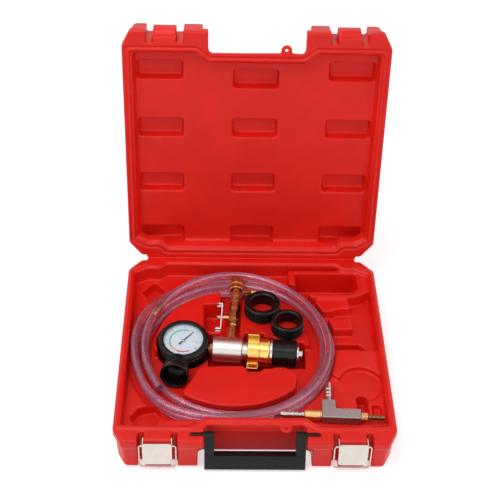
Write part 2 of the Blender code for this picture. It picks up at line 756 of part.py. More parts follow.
def make_base(finish):
    """Base: outer shell, rim, bead, latch blocks and the moulded tray."""
    base = add_object("case_base", loft(shell_levels(BASE_HEIGHT, BAND_HEIGHT, 0, 1)), finish)
    corners = cavity_corners()
    top = BASE_HEIGHT + OVERRUN
    mouth = stepped_in(corners, 0, CORNER_RADIUS)
    bottom = stepped_in(corners, TRAY_DRAFT, CORNER_RADIUS)
    cut(base, loft([(bottom, FLOOR_HEIGHT), (mouth, BASE_HEIGHT), (mouth, top)]))
    join(base, seal_ring(BEAD_WIDTH / 2, BASE_HEIGHT - BEAD_HEIGHT, BASE_HEIGHT + BEAD_HEIGHT))
    make_tray(base, finish)
    recess_cut(base, -OVERRUN, top, 0)
    recess_cut(base, -OVERRUN, BASE_HEIGHT - BAND_HEIGHT, RECESS_STEP)
    latch_cuts(base, -OVERRUN, top)
    for centre in LATCH_CENTRES:
        a, b = centre - NOTCH_INNER - OVERRUN, centre + NOTCH_INNER + OVERRUN
        front = FRONT_Y + BLOCK_SETBACK
        lower = FRONT_Y + BLOCK_LOWER_SETBACK
        corners = [
            (FRONT_Y - OVERRUN, -OVERRUN), (lower + WALL_DRAFT, -OVERRUN), (lower, BLOCK_LOWER_HEIGHT),
            (front, BLOCK_LOWER_HEIGHT + BLOCK_LOWER_SETBACK), (front, BASE_HEIGHT - BLOCK_RADIUS),
            (front + BLOCK_RADIUS / 3, BASE_HEIGHT - BLOCK_RADIUS / 3),
            (front + BLOCK_RADIUS, BASE_HEIGHT), (front + BLOCK_RADIUS, top), (FRONT_Y - OVERRUN, top),
        ]
        cut(base, prism(corners, a, b, "X"))
        hole = rod(a, b, LATCH_PIN_RADIUS + PIN_CLEARANCE, 8)
        hole.transform(Matrix.Translation((0, *latch_pin_place())))
        cut(base, hole)
    pivot_y, pivot_z = handle_pivot()
    slot = PIN_RADIUS + PIN_CLEARANCE
    for side in (-1, 1):
        a, b = sorted(
            (side * (RECESS_HALF_WIDTH - OVERRUN), side * (RECESS_HALF_WIDTH + PIN_LENGTH + PIN_CLEARANCE))
        )
        cut(base, box((a, pivot_y - slot, pivot_z - slot), (b, pivot_y + slot, top)))
    padlock_ear(base, BASE_HEIGHT - EAR_THICKNESS, BASE_HEIGHT - PARTING_GAP / 2)
    web_low = BASE_HEIGHT - PARTING_GAP / 2 - WEB_THICKNESS
    leaf = box(
        (-HINGE_HALF_LENGTH, BACK_Y - EDGE_RADIUS * 2, web_low),
        (HINGE_HALF_LENGTH, HINGE_Y - PARTING_GAP, BASE_HEIGHT - PARTING_GAP / 2),
    )
    join(base, leaf)
    stop_foot(base, -1)
    return base


def make_tray(base, finish):
    """Platforms that hold the tools and the pockets sunk below them."""
    sunk = COIL_FLOOR - OVERRUN
    top = BASE_HEIGHT + OVERRUN
    centre = (COIL_X, COIL_Y)
    for shares, height in (
        (SHELF_SHARES, SHELF_HEIGHT), (RIGHT_PLATFORM_SHARES, PLATFORM_HEIGHT),
        (BACK_BLOCK_SHARES, PLATFORM_HEIGHT),
        (SIDE_BLOCK_SHARES, PLATFORM_HEIGHT), (BACK_SHELF_SHARES, LEDGE_HEIGHT),
    ):
        block = counter_clockwise(placed(shares))
        foot = stepped_in(block, -BLOCK_DRAFT, CORNER_RADIUS / 2, 2)
        join(base, loft([(foot, sunk), (stepped_in(block, 0, CORNER_RADIUS / 2, 2), height)]))
    corners = cavity_corners()
    edge = []
    for i in range(ROOM_SIDES):
        angle = 360 * i / ROOM_SIDES
        edge += arc(centre, lay_radius(ROOM_LAY, angle), angle, angle, 1)[:1]
    room = add_object("coil_room", prism(edge, COIL_FLOOR, top), finish)
    combine(room, loft([
        (stepped_in(corners, TRAY_DRAFT, CORNER_RADIUS), COIL_FLOOR - OVERRUN),
        (stepped_in(corners, 0, CORNER_RADIUS), top + OVERRUN),
    ]), "INTERSECT")
    held = bmesh.new()
    held.from_mesh(room.data)
    bpy.data.objects.remove(room)
    cut(base, held)
    front = placed(FRONT_PLATFORM_SHARES) + arc(centre, FRONT_PLATFORM_RADIUS, *FRONT_PLATFORM_ARC, 9)
    join(base, prism(counter_clockwise(front), sunk, PLATFORM_HEIGHT))
    left = arc(centre, TRAY_INNER_RADIUS, *LEFT_PLATFORM_ARC, 10) + placed(LEFT_PLATFORM_SHARES)
    join(base, prism(counter_clockwise(left), sunk, PLATFORM_HEIGHT))
    rings = placed(RING_PLATFORM_SHARES) + arc(centre, RING_PLATFORM_RADIUS, *RING_PLATFORM_ARC, 9)
    join(base, prism(counter_clockwise(rings), sunk, RING_SEAT_HEIGHT))
    join(base, prism(counter_clockwise(placed(LEDGE_SHARES)), sunk, LEDGE_HEIGHT))
    for shares, floor, radius in (
        (CHANNEL_SHARES, CHANNEL_FLOOR, CORNER_RADIUS / 3),
        (NUT_POCKET_SHARES, NUT_POCKET_FLOOR, CORNER_RADIUS / 3),
        (LEVER_POCKET_SHARES, LEVER_POCKET_FLOOR, CORNER_RADIUS / 2),
        (SLOT_SHARES, SLOT_FLOOR, CORNER_RADIUS / 3),
        (BACK_POCKET_SHARES, POCKET_FLOOR, CORNER_RADIUS / 2),
        (BIT_SLOT_SHARES, SLOT_FLOOR, CORNER_RADIUS / 3),
        (CORNER_SLOT_SHARES, FLOOR_HEIGHT, CORNER_RADIUS / 3),
        (BACK_CORNER_SHARES, CORNER_POCKET_FLOOR, CORNER_RADIUS / 2),
        (FRONT_CORNER_SHARES, CORNER_POCKET_FLOOR, CORNER_RADIUS / 2),
    ):
        corners = counter_clockwise(placed(shares))
        bottom, mouth = stepped_in(corners, TRAY_DRAFT, radius, 2), stepped_in(corners, 0, radius, 2)
        cut(base, loft([(bottom, floor), (mouth, top)]))
    middle = placed([ROUND_RECESS_SHARE])[0]
    cut(base, prism(arc(middle, ROUND_RECESS_RADIUS, 0, 345, 23), STEP_FLOOR, top))
    gauge_x = TESTER_X + gauge_centre() * math.cos(math.radians(TESTER_YAW))
    gauge_y = TESTER_Y + gauge_centre() * math.sin(math.radians(TESTER_YAW)) + BOOT_BOTTOM * math.sin(
        math.radians(TESTER_ROLL)
    ) / 4
    radius = BOOT_RADIUS + GAUGE_RECESS_CLEARANCE
    cut(base, prism(arc((gauge_x, gauge_y), radius, 0, 350, 35), GAUGE_RECESS_FLOOR, top))


def make_lid(finish, hinge):
    """Lid, built shut about the hinge axis and carried open by the hinge."""
    drop = Matrix.Translation((0, -HINGE_Y, -BASE_HEIGHT))
    edge = BASE_HEIGHT + PARTING_GAP
    roof = BASE_HEIGHT + LID_HEIGHT
    levels = shell_levels(edge, BAND_HEIGHT, roof, -1)
    lid = add_object("case_lid", loft(levels[::-1]), finish)
    corners = cavity_corners()
    mouth = stepped_in(corners, 0, CORNER_RADIUS)
    deep = BASE_HEIGHT + LID_CAVITY
    step_at = edge + LID_STEP_DEPTH
    cut(lid, loft([
        (mouth, edge - OVERRUN), (mouth, step_at - EDGE_RADIUS),
        (stepped_in(corners, LID_STEP_INSET, CORNER_RADIUS), step_at),
        (stepped_in(corners, LID_CAVITY_DRAFT, CORNER_RADIUS), deep),
    ]))
    for column in (-1, 0, 1):
        for row in range(LID_POCKET_ROWS):
            y = HINGE_Y - LID_POCKET_ROW - row * LID_POCKET_PITCH_Y
            if row == LID_POCKET_ROWS - 1 and column == 0:
                y += LID_POCKET_TOP_DROP
            x = column * LID_POCKET_PITCH_X
            w, h = LID_POCKET_WIDTH / 2, LID_POCKET_HEIGHT / 2
            corners = [(x - w, y - h), (x + w, y - h), (x + w, y + h), (x - w, y + h)]
            mouth = stepped_in(corners, 0, LID_POCKET_RADIUS, 2)
            floor = stepped_in(corners, LID_POCKET_DRAFT, LID_POCKET_RADIUS, 2)
            cut(lid, loft([(mouth, deep - OVERRUN), (mouth, deep), (floor, deep + LID_POCKET_DEPTH)]))
    recess_cut(lid, edge - OVERRUN, roof + OVERRUN, 0)
    recess_cut(lid, edge + BAND_HEIGHT, roof + OVERRUN, RECESS_STEP)
    for centre in LATCH_CENTRES:
        a, b = centre - NOTCH_OUTER, centre + NOTCH_OUTER
        back = FRONT_Y + NOTCH_DEPTH
        cut(lid, box((a, FRONT_Y - OVERRUN, edge - OVERRUN), (b, back, roof + OVERRUN)))
        root, lip = FRONT_Y + CATCH_ROOT_SETBACK, FRONT_Y + CATCH_SETBACK
        corners = [
            (back + RIM_SIDE, edge), (root, edge), (root, BASE_HEIGHT + CATCH_LOW - EDGE_RADIUS * 2),
            (lip, BASE_HEIGHT + CATCH_LOW + EDGE_RADIUS * 2), (lip, BASE_HEIGHT + CATCH_HIGH),
            (back + RIM_SIDE, BASE_HEIGHT + CATCH_HIGH),
        ]
        join(lid, prism(corners, centre - CATCH_HALF_WIDTH, centre + CATCH_HALF_WIDTH, "X"))
    cut(
        lid,
        seal_ring(BEAD_WIDTH / 2 + GROOVE_CLEARANCE, edge - OVERRUN, edge + BEAD_HEIGHT + GROOVE_CLEARANCE)
    )
    padlock_ear(lid, edge, edge + EAR_THICKNESS)
    join(lid, box(
        (-HINGE_HALF_LENGTH, BACK_Y - EDGE_RADIUS * 2, edge),
        (HINGE_HALF_LENGTH, HINGE_Y - PARTING_GAP, edge + WEB_THICKNESS),
    ))
    stop_foot(lid, 1)
    lid.data.transform(drop)
    lid.parent = hinge
    return lid


def handle_pivot():
    """Place of the handle's axis in Y and Z."""
    return FRONT_Y + HANDLE_PIVOT_SETBACK, BASE_HEIGHT - PIN_BELOW_RIM - PIN_RADIUS


def latch_pin_place():
    """Place of the latch pins in Y and Z."""
    return FRONT_Y + LATCH_PIN_SETBACK, BASE_HEIGHT - LATCH_PIN_DROP


def make_handle(finish, pivot):
    """Carry handle, a bow of two arms and a grip with a pin on each arm."""
    outer = RECESS_HALF_WIDTH - PARTING_GAP * 3
    deep = GRIP_DEPTH / 2
    low = -HANDLE_REACH
    grip = rounded(
        [(-deep, low), (deep, low), (deep, low + GRIP_HEIGHT), (-deep, low + GRIP_HEIGHT)], GRIP_RADIUS
    )
    handle = add_object("carry_handle", prism(grip, -outer, outer, "X"), finish, pivot)
    arm_deep = HANDLE_ARM_DEPTH / 2
    sunk = low + GRIP_HEIGHT / 2
    end = HANDLE_ARM_END
    for side in (-1, 1):
        a, b = sorted((side * outer, side * (outer - HANDLE_ARM_WIDTH)))
        arm = [
            (-arm_deep, sunk), (arm_deep, sunk), (arm_deep, end - arm_deep / 2),
            (arm_deep / 2, end), (-arm_deep / 2, end), (-arm_deep, end - arm_deep / 2),
        ]
        join(handle, prism(arm, a, b, "X"))
        pin_end = side * (RECESS_HALF_WIDTH + PIN_LENGTH)
        low_x, high_x = sorted((side * (outer - HANDLE_ARM_WIDTH / 2), pin_end))
        join(handle, rod(low_x, high_x, PIN_RADIUS))
    return handle


def make_latch(side_name, centre, steel, base_pin_finish):
    """One draw latch: fixed pin, pressed lever and wire bail."""
    pin_y, pin_z = latch_pin_place()
    pivot = frame_empty("latch_pivot_" + side_name, (centre, pin_y, pin_z))
    half = LEVER_HALF_WIDTH
    add_object("latch_pin_" + side_name, rod(-half, half, LATCH_PIN_RADIUS), base_pin_finish, pivot)
    top, bottom = LEVER_RISE, LEVER_RISE - LEVER_HEIGHT
    face = -LEVER_STANDOFF
    front = rounded([(-half, bottom), (half, bottom), (half, top), (-half, top)], LEVER_CORNER)
    lever = add_object("latch_lever_" + side_name, prism(front, face - SHEET, face, "Y"), steel, pivot)
    for vertex in lever.data.vertices:
        below = bottom + LEVER_CURL * 2 - vertex.co.z
        if below > 0:
            vertex.co.y -= below / 2
    ear = [
        (face - SHEET / 2, EAR_SHOULDER), (0, EAR_TAIL), (EAR_TAIL, EAR_TAIL / 2), (EAR_TAIL, -EAR_TAIL / 2),
        (-BAIL_FORWARD + EAR_TAIL, -BAIL_DROP - EAR_TAIL), (face - SHEET / 2, -BAIL_DROP - EAR_TAIL * 3),
    ]
    for side in (-1, 1):
        a, b = sorted((side * half, side * (half - SHEET)))
        join(lever, prism(ear, a, b, "X"))
    cut(lever, rod(-half - SHEET, half + SHEET, LATCH_PIN_RADIUS + PIN_CLEARANCE, 8))
    swivel = rod(-half - SHEET, half + SHEET, WIRE_RADIUS + PIN_CLEARANCE, 8)
    swivel.transform(Matrix.Translation((0, -BAIL_FORWARD, -BAIL_DROP)))
    cut(lever, swivel)
    bail_pivot = frame_empty("bail_pivot_" + side_name, (0, -BAIL_FORWARD, -BAIL_DROP), parent=pivot)
    bail = add_object("latch_bail_" + side_name, bail_wire(), steel, bail_pivot)
    return lever, bail


def bail_wire():
    """A wire bow with its ends turned in, as one swept tube."""
    half, length, corner = BAIL_HALF_WIDTH, BAIL_LENGTH, BAIL_CORNER
    inner = LEVER_HALF_WIDTH - SHEET
    turn_in = WIRE_RADIUS * 2
    right = [(inner, 0), (half - turn_in, 0), (half - turn_in / 4, -turn_in / 4), (half, -turn_in)]
    for i in range(5):
        angle = math.radians(90 * i / 4)
        right.append((half - corner + corner * math.cos(angle), -length + corner - corner * math.sin(angle)))
    route = [Vector((x, 0, z)) for x, z in right]
    route += [Vector((-p.x, 0, p.z)) for p in reversed(route)]
    return tube(route, WIRE_RADIUS, 8)


def tube(route, radius, sides, up=Vector((0, 1, 0))):
    """A closed round tube along a route, its rings square to the bisector of each bend."""
    form = bmesh.new()
    rings = []
    last = len(route) - 1
    for i, point in enumerate(route):
        ahead = (route[min(i + 1, last)] - route[max(i - 1, 0)]).normalized()
        side = ahead.cross(up).normalized()
        top = side.cross(ahead).normalized()
        ring = []
        for k in range(sides):
            angle = 2 * math.pi * (k + 0.5) / sides
            ring.append(
                form.verts.new(point + side * radius * math.cos(angle) + top * radius * math.sin(angle))
            )
        rings.append(ring)
    form.faces.new(rings[0])
    form.faces.new(rings[-1])
    for low, high in zip(rings, rings[1:]):
        for k in range(sides):
            j = (k + 1) % sides
            form.faces.new((low[k], low[j], high[j], high[k]))
    return form


def gauge_centre():
    """Place of the gauge along the tester's own X."""
    return -BODY_LENGTH / 2 - GAUGE_BODY_GAP - BOOT_RADIUS + SEAT_GAP


def make_gauge(finishes, tester):
    """Gauge: rubber boot, steel case, dial, lens, needle, movement and stem."""
    centre = gauge_centre()
    place = (centre, 0, 0)
    inner = BOOT_RADIUS - BOOT_WALL
    lip_low = BOOT_TOP - BOOT_LIP
    boot = add_object("gauge_boot", turned([
        (-BOOT_BOTTOM, BOOT_RADIUS - BOOT_BEVEL), (-BOOT_BOTTOM + BOOT_BEVEL, BOOT_RADIUS),
        (BOOT_TOP - BOOT_BEVEL * 2, BOOT_RADIUS), (BOOT_TOP, BOOT_RADIUS - BOOT_BEVEL * 2),
        (BOOT_TOP, BOOT_WINDOW), (lip_low, BOOT_WINDOW), (lip_low, inner),
        (-BOOT_BOTTOM + BOOT_WALL, inner), (-BOOT_BOTTOM + BOOT_WALL, BOOT_WINDOW),
        (-BOOT_BOTTOM, BOOT_WINDOW),
    ], 40, ALONG_Z), finishes["boot"], tester, place)
    for vertex in boot.data.vertices:
        reach = math.hypot(vertex.co.x, vertex.co.y)
        step = round(math.atan2(vertex.co.y, vertex.co.x) / math.radians(9))
        if reach > inner + BOOT_WALL / 2 and step % 2 and vertex.co.z < BOOT_TOP - BOOT_BEVEL:
            scale = 1 - BOOT_RIB_DEPTH / reach
            vertex.co.x *= scale
            vertex.co.y *= scale
    case_radius = inner - RUNNING_GAP
    case_floor = -BOOT_BOTTOM + BOOT_WALL + SEAT_GAP
    bore = case_radius - GAUGE_CASE_WALL
    case = add_object("gauge_case", turned([
        (case_floor, 0), (case_floor, case_radius), (GAUGE_CASE_TOP, case_radius), (GAUGE_CASE_TOP, bore),
        (case_floor + GAUGE_CASE_WALL, bore), (case_floor + GAUGE_CASE_WALL, 0),
    ], FACETS, ALONG_Z), finishes["steel"], tester, place)
    for shell in (boot, case):
        cut(shell, rod(STEM_INNER_REACH, BOOT_RADIUS + OVERRUN, STEM_RADIUS + TUBE_CLEARANCE))
    lens_low = GAUGE_CASE_TOP + SEAT_GAP
    add_object("gauge_lens", rod(lens_low, lens_low + LENS_THICKNESS, inner - RUNNING_GAP, FACETS, ALONG_Z),
               finishes["lens"], tester, place)
    hole = SPINDLE_RADIUS + SPINDLE_CLEARANCE
    dial_low = DIAL_TOP - DIAL_THICKNESS
    add_object("gauge_dial", turned([
        (dial_low, DIAL_RADIUS), (DIAL_TOP, DIAL_RADIUS), (DIAL_TOP, hole), (dial_low, hole),
    ], FACETS, ALONG_Z), finishes["dial"], tester, place)
    hub_low = DIAL_TOP + SEAT_GAP
    spindle_low = DIAL_TOP - MOVEMENT_RADIUS * 2
    pivot = frame_empty("needle_pivot", place, parent=tester)
    pivot.rotation_euler = (0, 0, math.radians(NEEDLE_REST_ANGLE))
    bpy.context.view_layer.update()
    needle = add_object("gauge_needle", turned([
        (spindle_low, 0), (spindle_low, SPINDLE_RADIUS), (hub_low, SPINDLE_RADIUS),
        (hub_low, NEEDLE_HUB_RADIUS), (hub_low + NEEDLE_HUB_HEIGHT, NEEDLE_HUB_RADIUS),
        (hub_low + NEEDLE_HUB_HEIGHT, 0),
    ], SMALL_FACETS, ALONG_Z), finishes["needle"], pivot)
    half = NEEDLE_WIDTH / 2
    outline = [
        (NEEDLE_HUB_RADIUS / 2, -half), (NEEDLE_TIP, -half / 4), (NEEDLE_TIP, half / 4),
        (NEEDLE_HUB_RADIUS / 2, half),
        (-NEEDLE_TAIL, half), (-NEEDLE_TAIL, -half),
    ]
    blade_low = hub_low + NEEDLE_HUB_HEIGHT / 4
    join(needle, prism(outline, blade_low, blade_low + NEEDLE_THICKNESS))
    floor = case_floor + GAUGE_CASE_WALL + SEAT_GAP
    movement = add_object("gauge_movement", turned([
        (floor, 0), (floor, MOVEMENT_RADIUS), (dial_low - SEAT_GAP, MOVEMENT_RADIUS),
        (dial_low - SEAT_GAP, hole),
        (spindle_low - SEAT_GAP, hole), (spindle_low - SEAT_GAP, 0),
    ], SMALL_FACETS, ALONG_Z), finishes["brass"], tester, place)
    arm = MOVEMENT_ARM_HALF
    join(movement, box((0, -arm, -arm), (STEM_INNER_REACH, arm, arm)))
    add_object("bourdon_tube", bourdon(), finishes["brass"], tester, place)
    hex_low = BOOT_RADIUS + SEAT_GAP * 2
    hex_high = BOOT_RADIUS + GAUGE_BODY_GAP - SEAT_GAP * 2
    stem = add_object("gauge_stem", rod(STEM_INNER_REACH + SEAT_GAP, hex_low + SEAT_GAP, STEM_RADIUS),
                      finishes["brass"], tester, place)
    join(
        stem,
        turned([(hex_low, 0), (hex_low, STEM_HEX_RADIUS), (hex_high, STEM_HEX_RADIUS), (hex_high, 0)], 6)
    )
    join(stem, rod(hex_high - SEAT_GAP, hex_high + STEM_THREAD_LENGTH, STEM_THREAD_RADIUS))


def bourdon():
    """The flattened spring tube of the gauge, bent to an open ring."""
    form = bmesh.new()
    rings = []
    steps = 18
    for i in range(steps + 1):
        angle = math.radians(BOURDON_START + (BOURDON_END - BOURDON_START) * i / steps)
        ring = []
        for radial, height in ((-1, -1), (1, -1), (1, 1), (-1, 1)):
            reach = BOURDON_RADIUS + radial * BOURDON_HALF_THICKNESS
            ring.append(form.verts.new((
                reach * math.cos(angle), reach * math.sin(angle), height * BOURDON_HALF_HEIGHT)))
        rings.append(ring)
    form.faces.new(rings[0])
    form.faces.new(rings[-1])
    for low, high in zip(rings, rings[1:]):
        for k in range(4):
            j = (k + 1) % 4
            form.faces.new((low[k], low[j], high[j], high[k]))
    return form


def make_tester_body(finishes, tester):
    """Manifold, draw tube, clamp nut, washers and the rubber plug, from left to right."""
    left, right = -BODY_LENGTH / 2, BODY_LENGTH / 2
    neck_end = right + NECK_LENGTH
    seat = neck_end - DRAW_TUBE_SEAT
    bore = DRAW_TUBE_RADIUS + TUBE_CLEARANCE
    manifold = add_object("manifold_body", turned([
        (left, 0), (left, BODY_RADIUS - BODY_CHAMFER), (left + BODY_CHAMFER, BODY_RADIUS),
        (right - BODY_CHAMFER, BODY_RADIUS), (right, BODY_RADIUS - BODY_CHAMFER), (right, NECK_RADIUS),
        (neck_end, NECK_RADIUS), (neck_end, bore), (seat, bore), (seat, 0),
    ]), finishes["aluminium"], tester)
    cut(
        manifold,
        rod(left - OVERRUN, left + STEM_THREAD_LENGTH + SEAT_GAP, STEM_THREAD_RADIUS + TUBE_CLEARANCE)
    )
    port = rod(
        VALVE_TUBE_ROOT - SEAT_GAP, BODY_RADIUS + OVERRUN, VALVE_TUBE_RADIUS + TUBE_CLEARANCE, SMALL_FACETS, ALONG_Y
    )
    port.transform(Matrix.Translation((VALVE_X, 0, 0)))
    cut(manifold, port)
    nut_low = neck_end + SEAT_GAP
    nut_high = nut_low + NUT_LENGTH
    washer_low = nut_high + SEAT_GAP
    washer_high = washer_low + WASHER_THICKNESS
    plug_low = washer_high + SEAT_GAP
    plug_high = plug_low + PLUG_LENGTH
    end_low = plug_high + SEAT_GAP
    end_high = end_low + END_WASHER_THICKNESS
    stem_end = end_high + END_STEM_LENGTH
    add_object("draw_tube", turned([
        (seat + SEAT_GAP, DRAW_TUBE_BORE), (seat + SEAT_GAP, DRAW_TUBE_RADIUS), (end_high, DRAW_TUBE_RADIUS),
        (end_high, END_STEM_RADIUS), (stem_end, END_STEM_RADIUS), (stem_end, DRAW_TUBE_BORE),
    ], 24), finishes["steel"], tester)
    nut_bore = DRAW_TUBE_RADIUS + RUNNING_GAP
    nut = add_object("clamp_nut", turned([
        (nut_low, nut_bore), (nut_low, NUT_RADIUS - NUT_CHAMFER), (nut_low + NUT_CHAMFER, NUT_RADIUS),
        (nut_high - NUT_CHAMFER, NUT_RADIUS), (nut_high, NUT_RADIUS - NUT_CHAMFER), (nut_high, nut_bore),
    ]), finishes["gold"], tester)
    for lug in range(NUT_LUGS):
        middle = NUT_LUG_PHASE + TESTER_ROLL + lug * 360 / NUT_LUGS
        outline = []
        for radius, spread in ((NUT_RADIUS - NUT_CHAMFER * 2, 1.25), (NUT_LUG_RADIUS, 1.0)):
            for side in ((-1, 1) if spread > 1 else (1, 0, -1)):
                angle = math.radians(180 - middle + side * spread * NUT_LUG_HALF_ANGLE)
                outline.append((radius * math.cos(angle), radius * math.sin(angle)))
        join(nut, prism(outline, nut_low, nut_low + NUT_LUG_LENGTH, "X"))
    washer_bore = DRAW_TUBE_RADIUS + TUBE_CLEARANCE
    add_object("press_washer", turned([
        (washer_low, washer_bore), (washer_low, WASHER_RADIUS), (washer_high, WASHER_RADIUS),
        (washer_high, washer_bore),
    ]), finishes["steel"], tester)
    middle = (plug_low + plug_high) / 2
    add_object("rubber_plug", turned([
        (plug_low, washer_bore), (plug_low, PLUG_RADIUS), (middle, PLUG_WAIST), (plug_high, PLUG_RADIUS),
        (plug_high, washer_bore),
    ]), finishes["rubber"], tester)
    add_object("end_washer", turned([
        (end_low, washer_bore), (end_low, END_WASHER_RADIUS), (end_high, END_WASHER_RADIUS),
        (end_high, washer_bore),
    ], 24), finishes["steel"], tester)


def make_valve(finishes, tester):
    """Shut-off valve on the manifold with its butterfly lever, and the quick coupler beyond it."""
    place = (VALVE_X, 0, 0)
    add_object("valve_tube", turned([
        (VALVE_TUBE_ROOT, VALVE_BORE), (VALVE_TUBE_ROOT, VALVE_TUBE_RADIUS),
        (VALVE_TUBE_END, VALVE_TUBE_RADIUS),
        (VALVE_TUBE_END, VALVE_BORE),
    ], 16, ALONG_Y), finishes["brass"], tester, place)
    low = VALVE_TUBE_END + SEAT_GAP
    shoulder = low + VALVE_HEX_LENGTH
    high = shoulder + VALVE_BODY_LENGTH
    body = add_object("valve_body", turned([
        (low, 0), (low, VALVE_HEX_RADIUS), (shoulder, VALVE_HEX_RADIUS), (shoulder, 0),
    ], 6, ALONG_Y), finishes["brass"], tester, place)
    join(body, turned([
        (shoulder - SEAT_GAP, 0), (shoulder - SEAT_GAP, VALVE_BODY_RADIUS - BODY_CHAMFER),
        (shoulder + BODY_CHAMFER, VALVE_BODY_RADIUS), (high - BODY_CHAMFER, VALVE_BODY_RADIUS),
        (high, VALVE_BODY_RADIUS - BODY_CHAMFER), (high, 0),
    ], 8, ALONG_Y, math.radians(22.5)))
    gland = rod(-GLAND_REACH, 0, GLAND_RADIUS)
    gland.transform(Matrix.Translation((0, BALL_Y, 0)))
    join(body, gland)
    cavity = BALL_RADIUS + BALL_CLEARANCE
    bore_at_ball = math.sqrt(cavity ** 2 - VALVE_BORE ** 2)
    profile = [(low - OVERRUN, 0), (low - OVERRUN, VALVE_BORE)]
    for i in range(7):
        x = -bore_at_ball + 2 * bore_at_ball * i / 6
        profile.append((BALL_Y + x, math.sqrt(cavity ** 2 - x ** 2)))
    profile += [(high + OVERRUN, VALVE_BORE), (high + OVERRUN, 0)]
    cut(body, turned(profile, SMALL_FACETS, ALONG_Y, math.radians(7)))
    stem_hole = rod(-GLAND_REACH - OVERRUN, 0, LEVER_STEM_RADIUS + PIN_CLEARANCE, 8)
    stem_hole.transform(Matrix.Translation((0, BALL_Y, 0)))
    cut(body, stem_hole)
    pivot = frame_empty("valve_pivot", (VALVE_X, BALL_Y, 0), parent=tester)
    ball = add_object("valve_ball", ball_form(), finishes["chrome"], pivot)
    cut(ball, rod(-BALL_RADIUS * 2, BALL_RADIUS * 2, BALL_BORE, SMALL_FACETS, ALONG_Y))
    tilt = Matrix.Rotation(math.radians(LEVER_TILT), 4, "X")
    plate_x = -LEVER_PLATE_X
    lever = add_object("valve_lever", rod(-LEVER_STEM_REACH, -BALL_RADIUS - SEAT_GAP, LEVER_STEM_RADIUS, 8),
                       finishes["steel"], pivot)
    half = LEVER_WIDTH / 2
    strip = box((plate_x - SHEET, -LEVER_ARM, -half), (plate_x, LEVER_ARM, half))
    strip.transform(tilt)
    join(lever, strip)
    for side in (-1, 1):
        a, b = sorted((side * LEVER_ARM, side * (LEVER_ARM - SHEET)))
        tab = box((plate_x - LEVER_TAB, a, -half), (plate_x - SHEET / 2, b, half))
        tab.transform(tilt)
        join(lever, tab)
    hole_end = -LEVER_STEM_REACH - SEAT_GAP
    nut_low = hole_end - SHEET
    nut_high = plate_x - SHEET - SEAT_GAP
    hole = (LEVER_STEM_RADIUS + PIN_CLEARANCE) / math.cos(math.radians(30))
    add_object("lever_nut", turned([
        (nut_low, 0), (nut_low, LEVER_NUT_RADIUS * 3 / 4), (nut_low + SHEET, LEVER_NUT_RADIUS),
        (nut_high, LEVER_NUT_RADIUS), (nut_high, hole), (hole_end, hole), (hole_end, 0),
    ], 6), finishes["chrome"], pivot)
    neck_low = high + SEAT_GAP
    neck_high = neck_low + COUPLER_NECK_LENGTH
    ring_high = neck_high + COUPLER_RING_LENGTH
    nose_high = ring_high + COUPLER_NOSE_LENGTH
    groove = COUPLER_RING_RADIUS - COUPLER_GROOVE
    third = COUPLER_RING_LENGTH / 6
    add_object("coupler_body", turned([
        (neck_low, VALVE_BORE), (neck_low, COUPLER_NECK_RADIUS), (neck_high, COUPLER_NECK_RADIUS),
        (neck_high, COUPLER_RING_RADIUS), (neck_high + third, COUPLER_RING_RADIUS),
        (neck_high + third, groove),
        (neck_high + 2 * third, groove), (neck_high + 2 * third, COUPLER_RING_RADIUS),
        (ring_high, COUPLER_RING_RADIUS), (ring_high, COUPLER_NOSE_RADIUS), (nose_high, COUPLER_NOSE_RADIUS),
        (nose_high, VALVE_BORE),
    ], 20, ALONG_Y), finishes["brass"], tester, place)
    sleeve_low = ring_high + SLEEVE_TRAVEL + SEAT_GAP
    sleeve_high = sleeve_low + SLEEVE_LENGTH
    sleeve_bore = COUPLER_NOSE_RADIUS + RUNNING_GAP
    sleeve = add_object("coupler_sleeve", turned([
        (sleeve_low, sleeve_bore), (sleeve_low, SLEEVE_RADIUS - BODY_CHAMFER),
        (sleeve_low + BODY_CHAMFER, SLEEVE_RADIUS),
        (sleeve_high - BODY_CHAMFER, SLEEVE_RADIUS), (sleeve_high, SLEEVE_RADIUS - BODY_CHAMFER),
        (sleeve_high, sleeve_bore),
    ], SLEEVE_RIBS * 2, ALONG_Y), finishes["brass"], tester, place)
    for vertex in sleeve.data.vertices:
        reach = math.hypot(vertex.co.x, vertex.co.z)
        step = round(math.atan2(vertex.co.z, vertex.co.x) / (math.pi / SLEEVE_RIBS))
        if reach > SLEEVE_RADIUS - BODY_CHAMFER / 2 and step % 2:
            vertex.co.x *= 1 - PIN_CLEARANCE / reach
            vertex.co.z *= 1 - PIN_CLEARANCE / reach


def ball_form():
    """A ball for the valve."""
    form = bmesh.new()
    bmesh.ops.create_uvsphere(form, u_segments=16, v_segments=10, radius=BALL_RADIUS)
    return form


def ribbed(length, start, end, ribs, depth):
    """Outer profile of a ribbed sleeve as (place, radius) pairs, two for each rib."""
    made = []
    pitch = length / (ribs * 2 + 1)
    for i in range(ribs * 2 + 2):
        share = i / (ribs * 2 + 1)
        radius = start + (end - start) * share
        inner_end = i // 2 * 2 == i and 0 < i
        made.append((pitch * i, radius - depth if inner_end else radius))
    return made


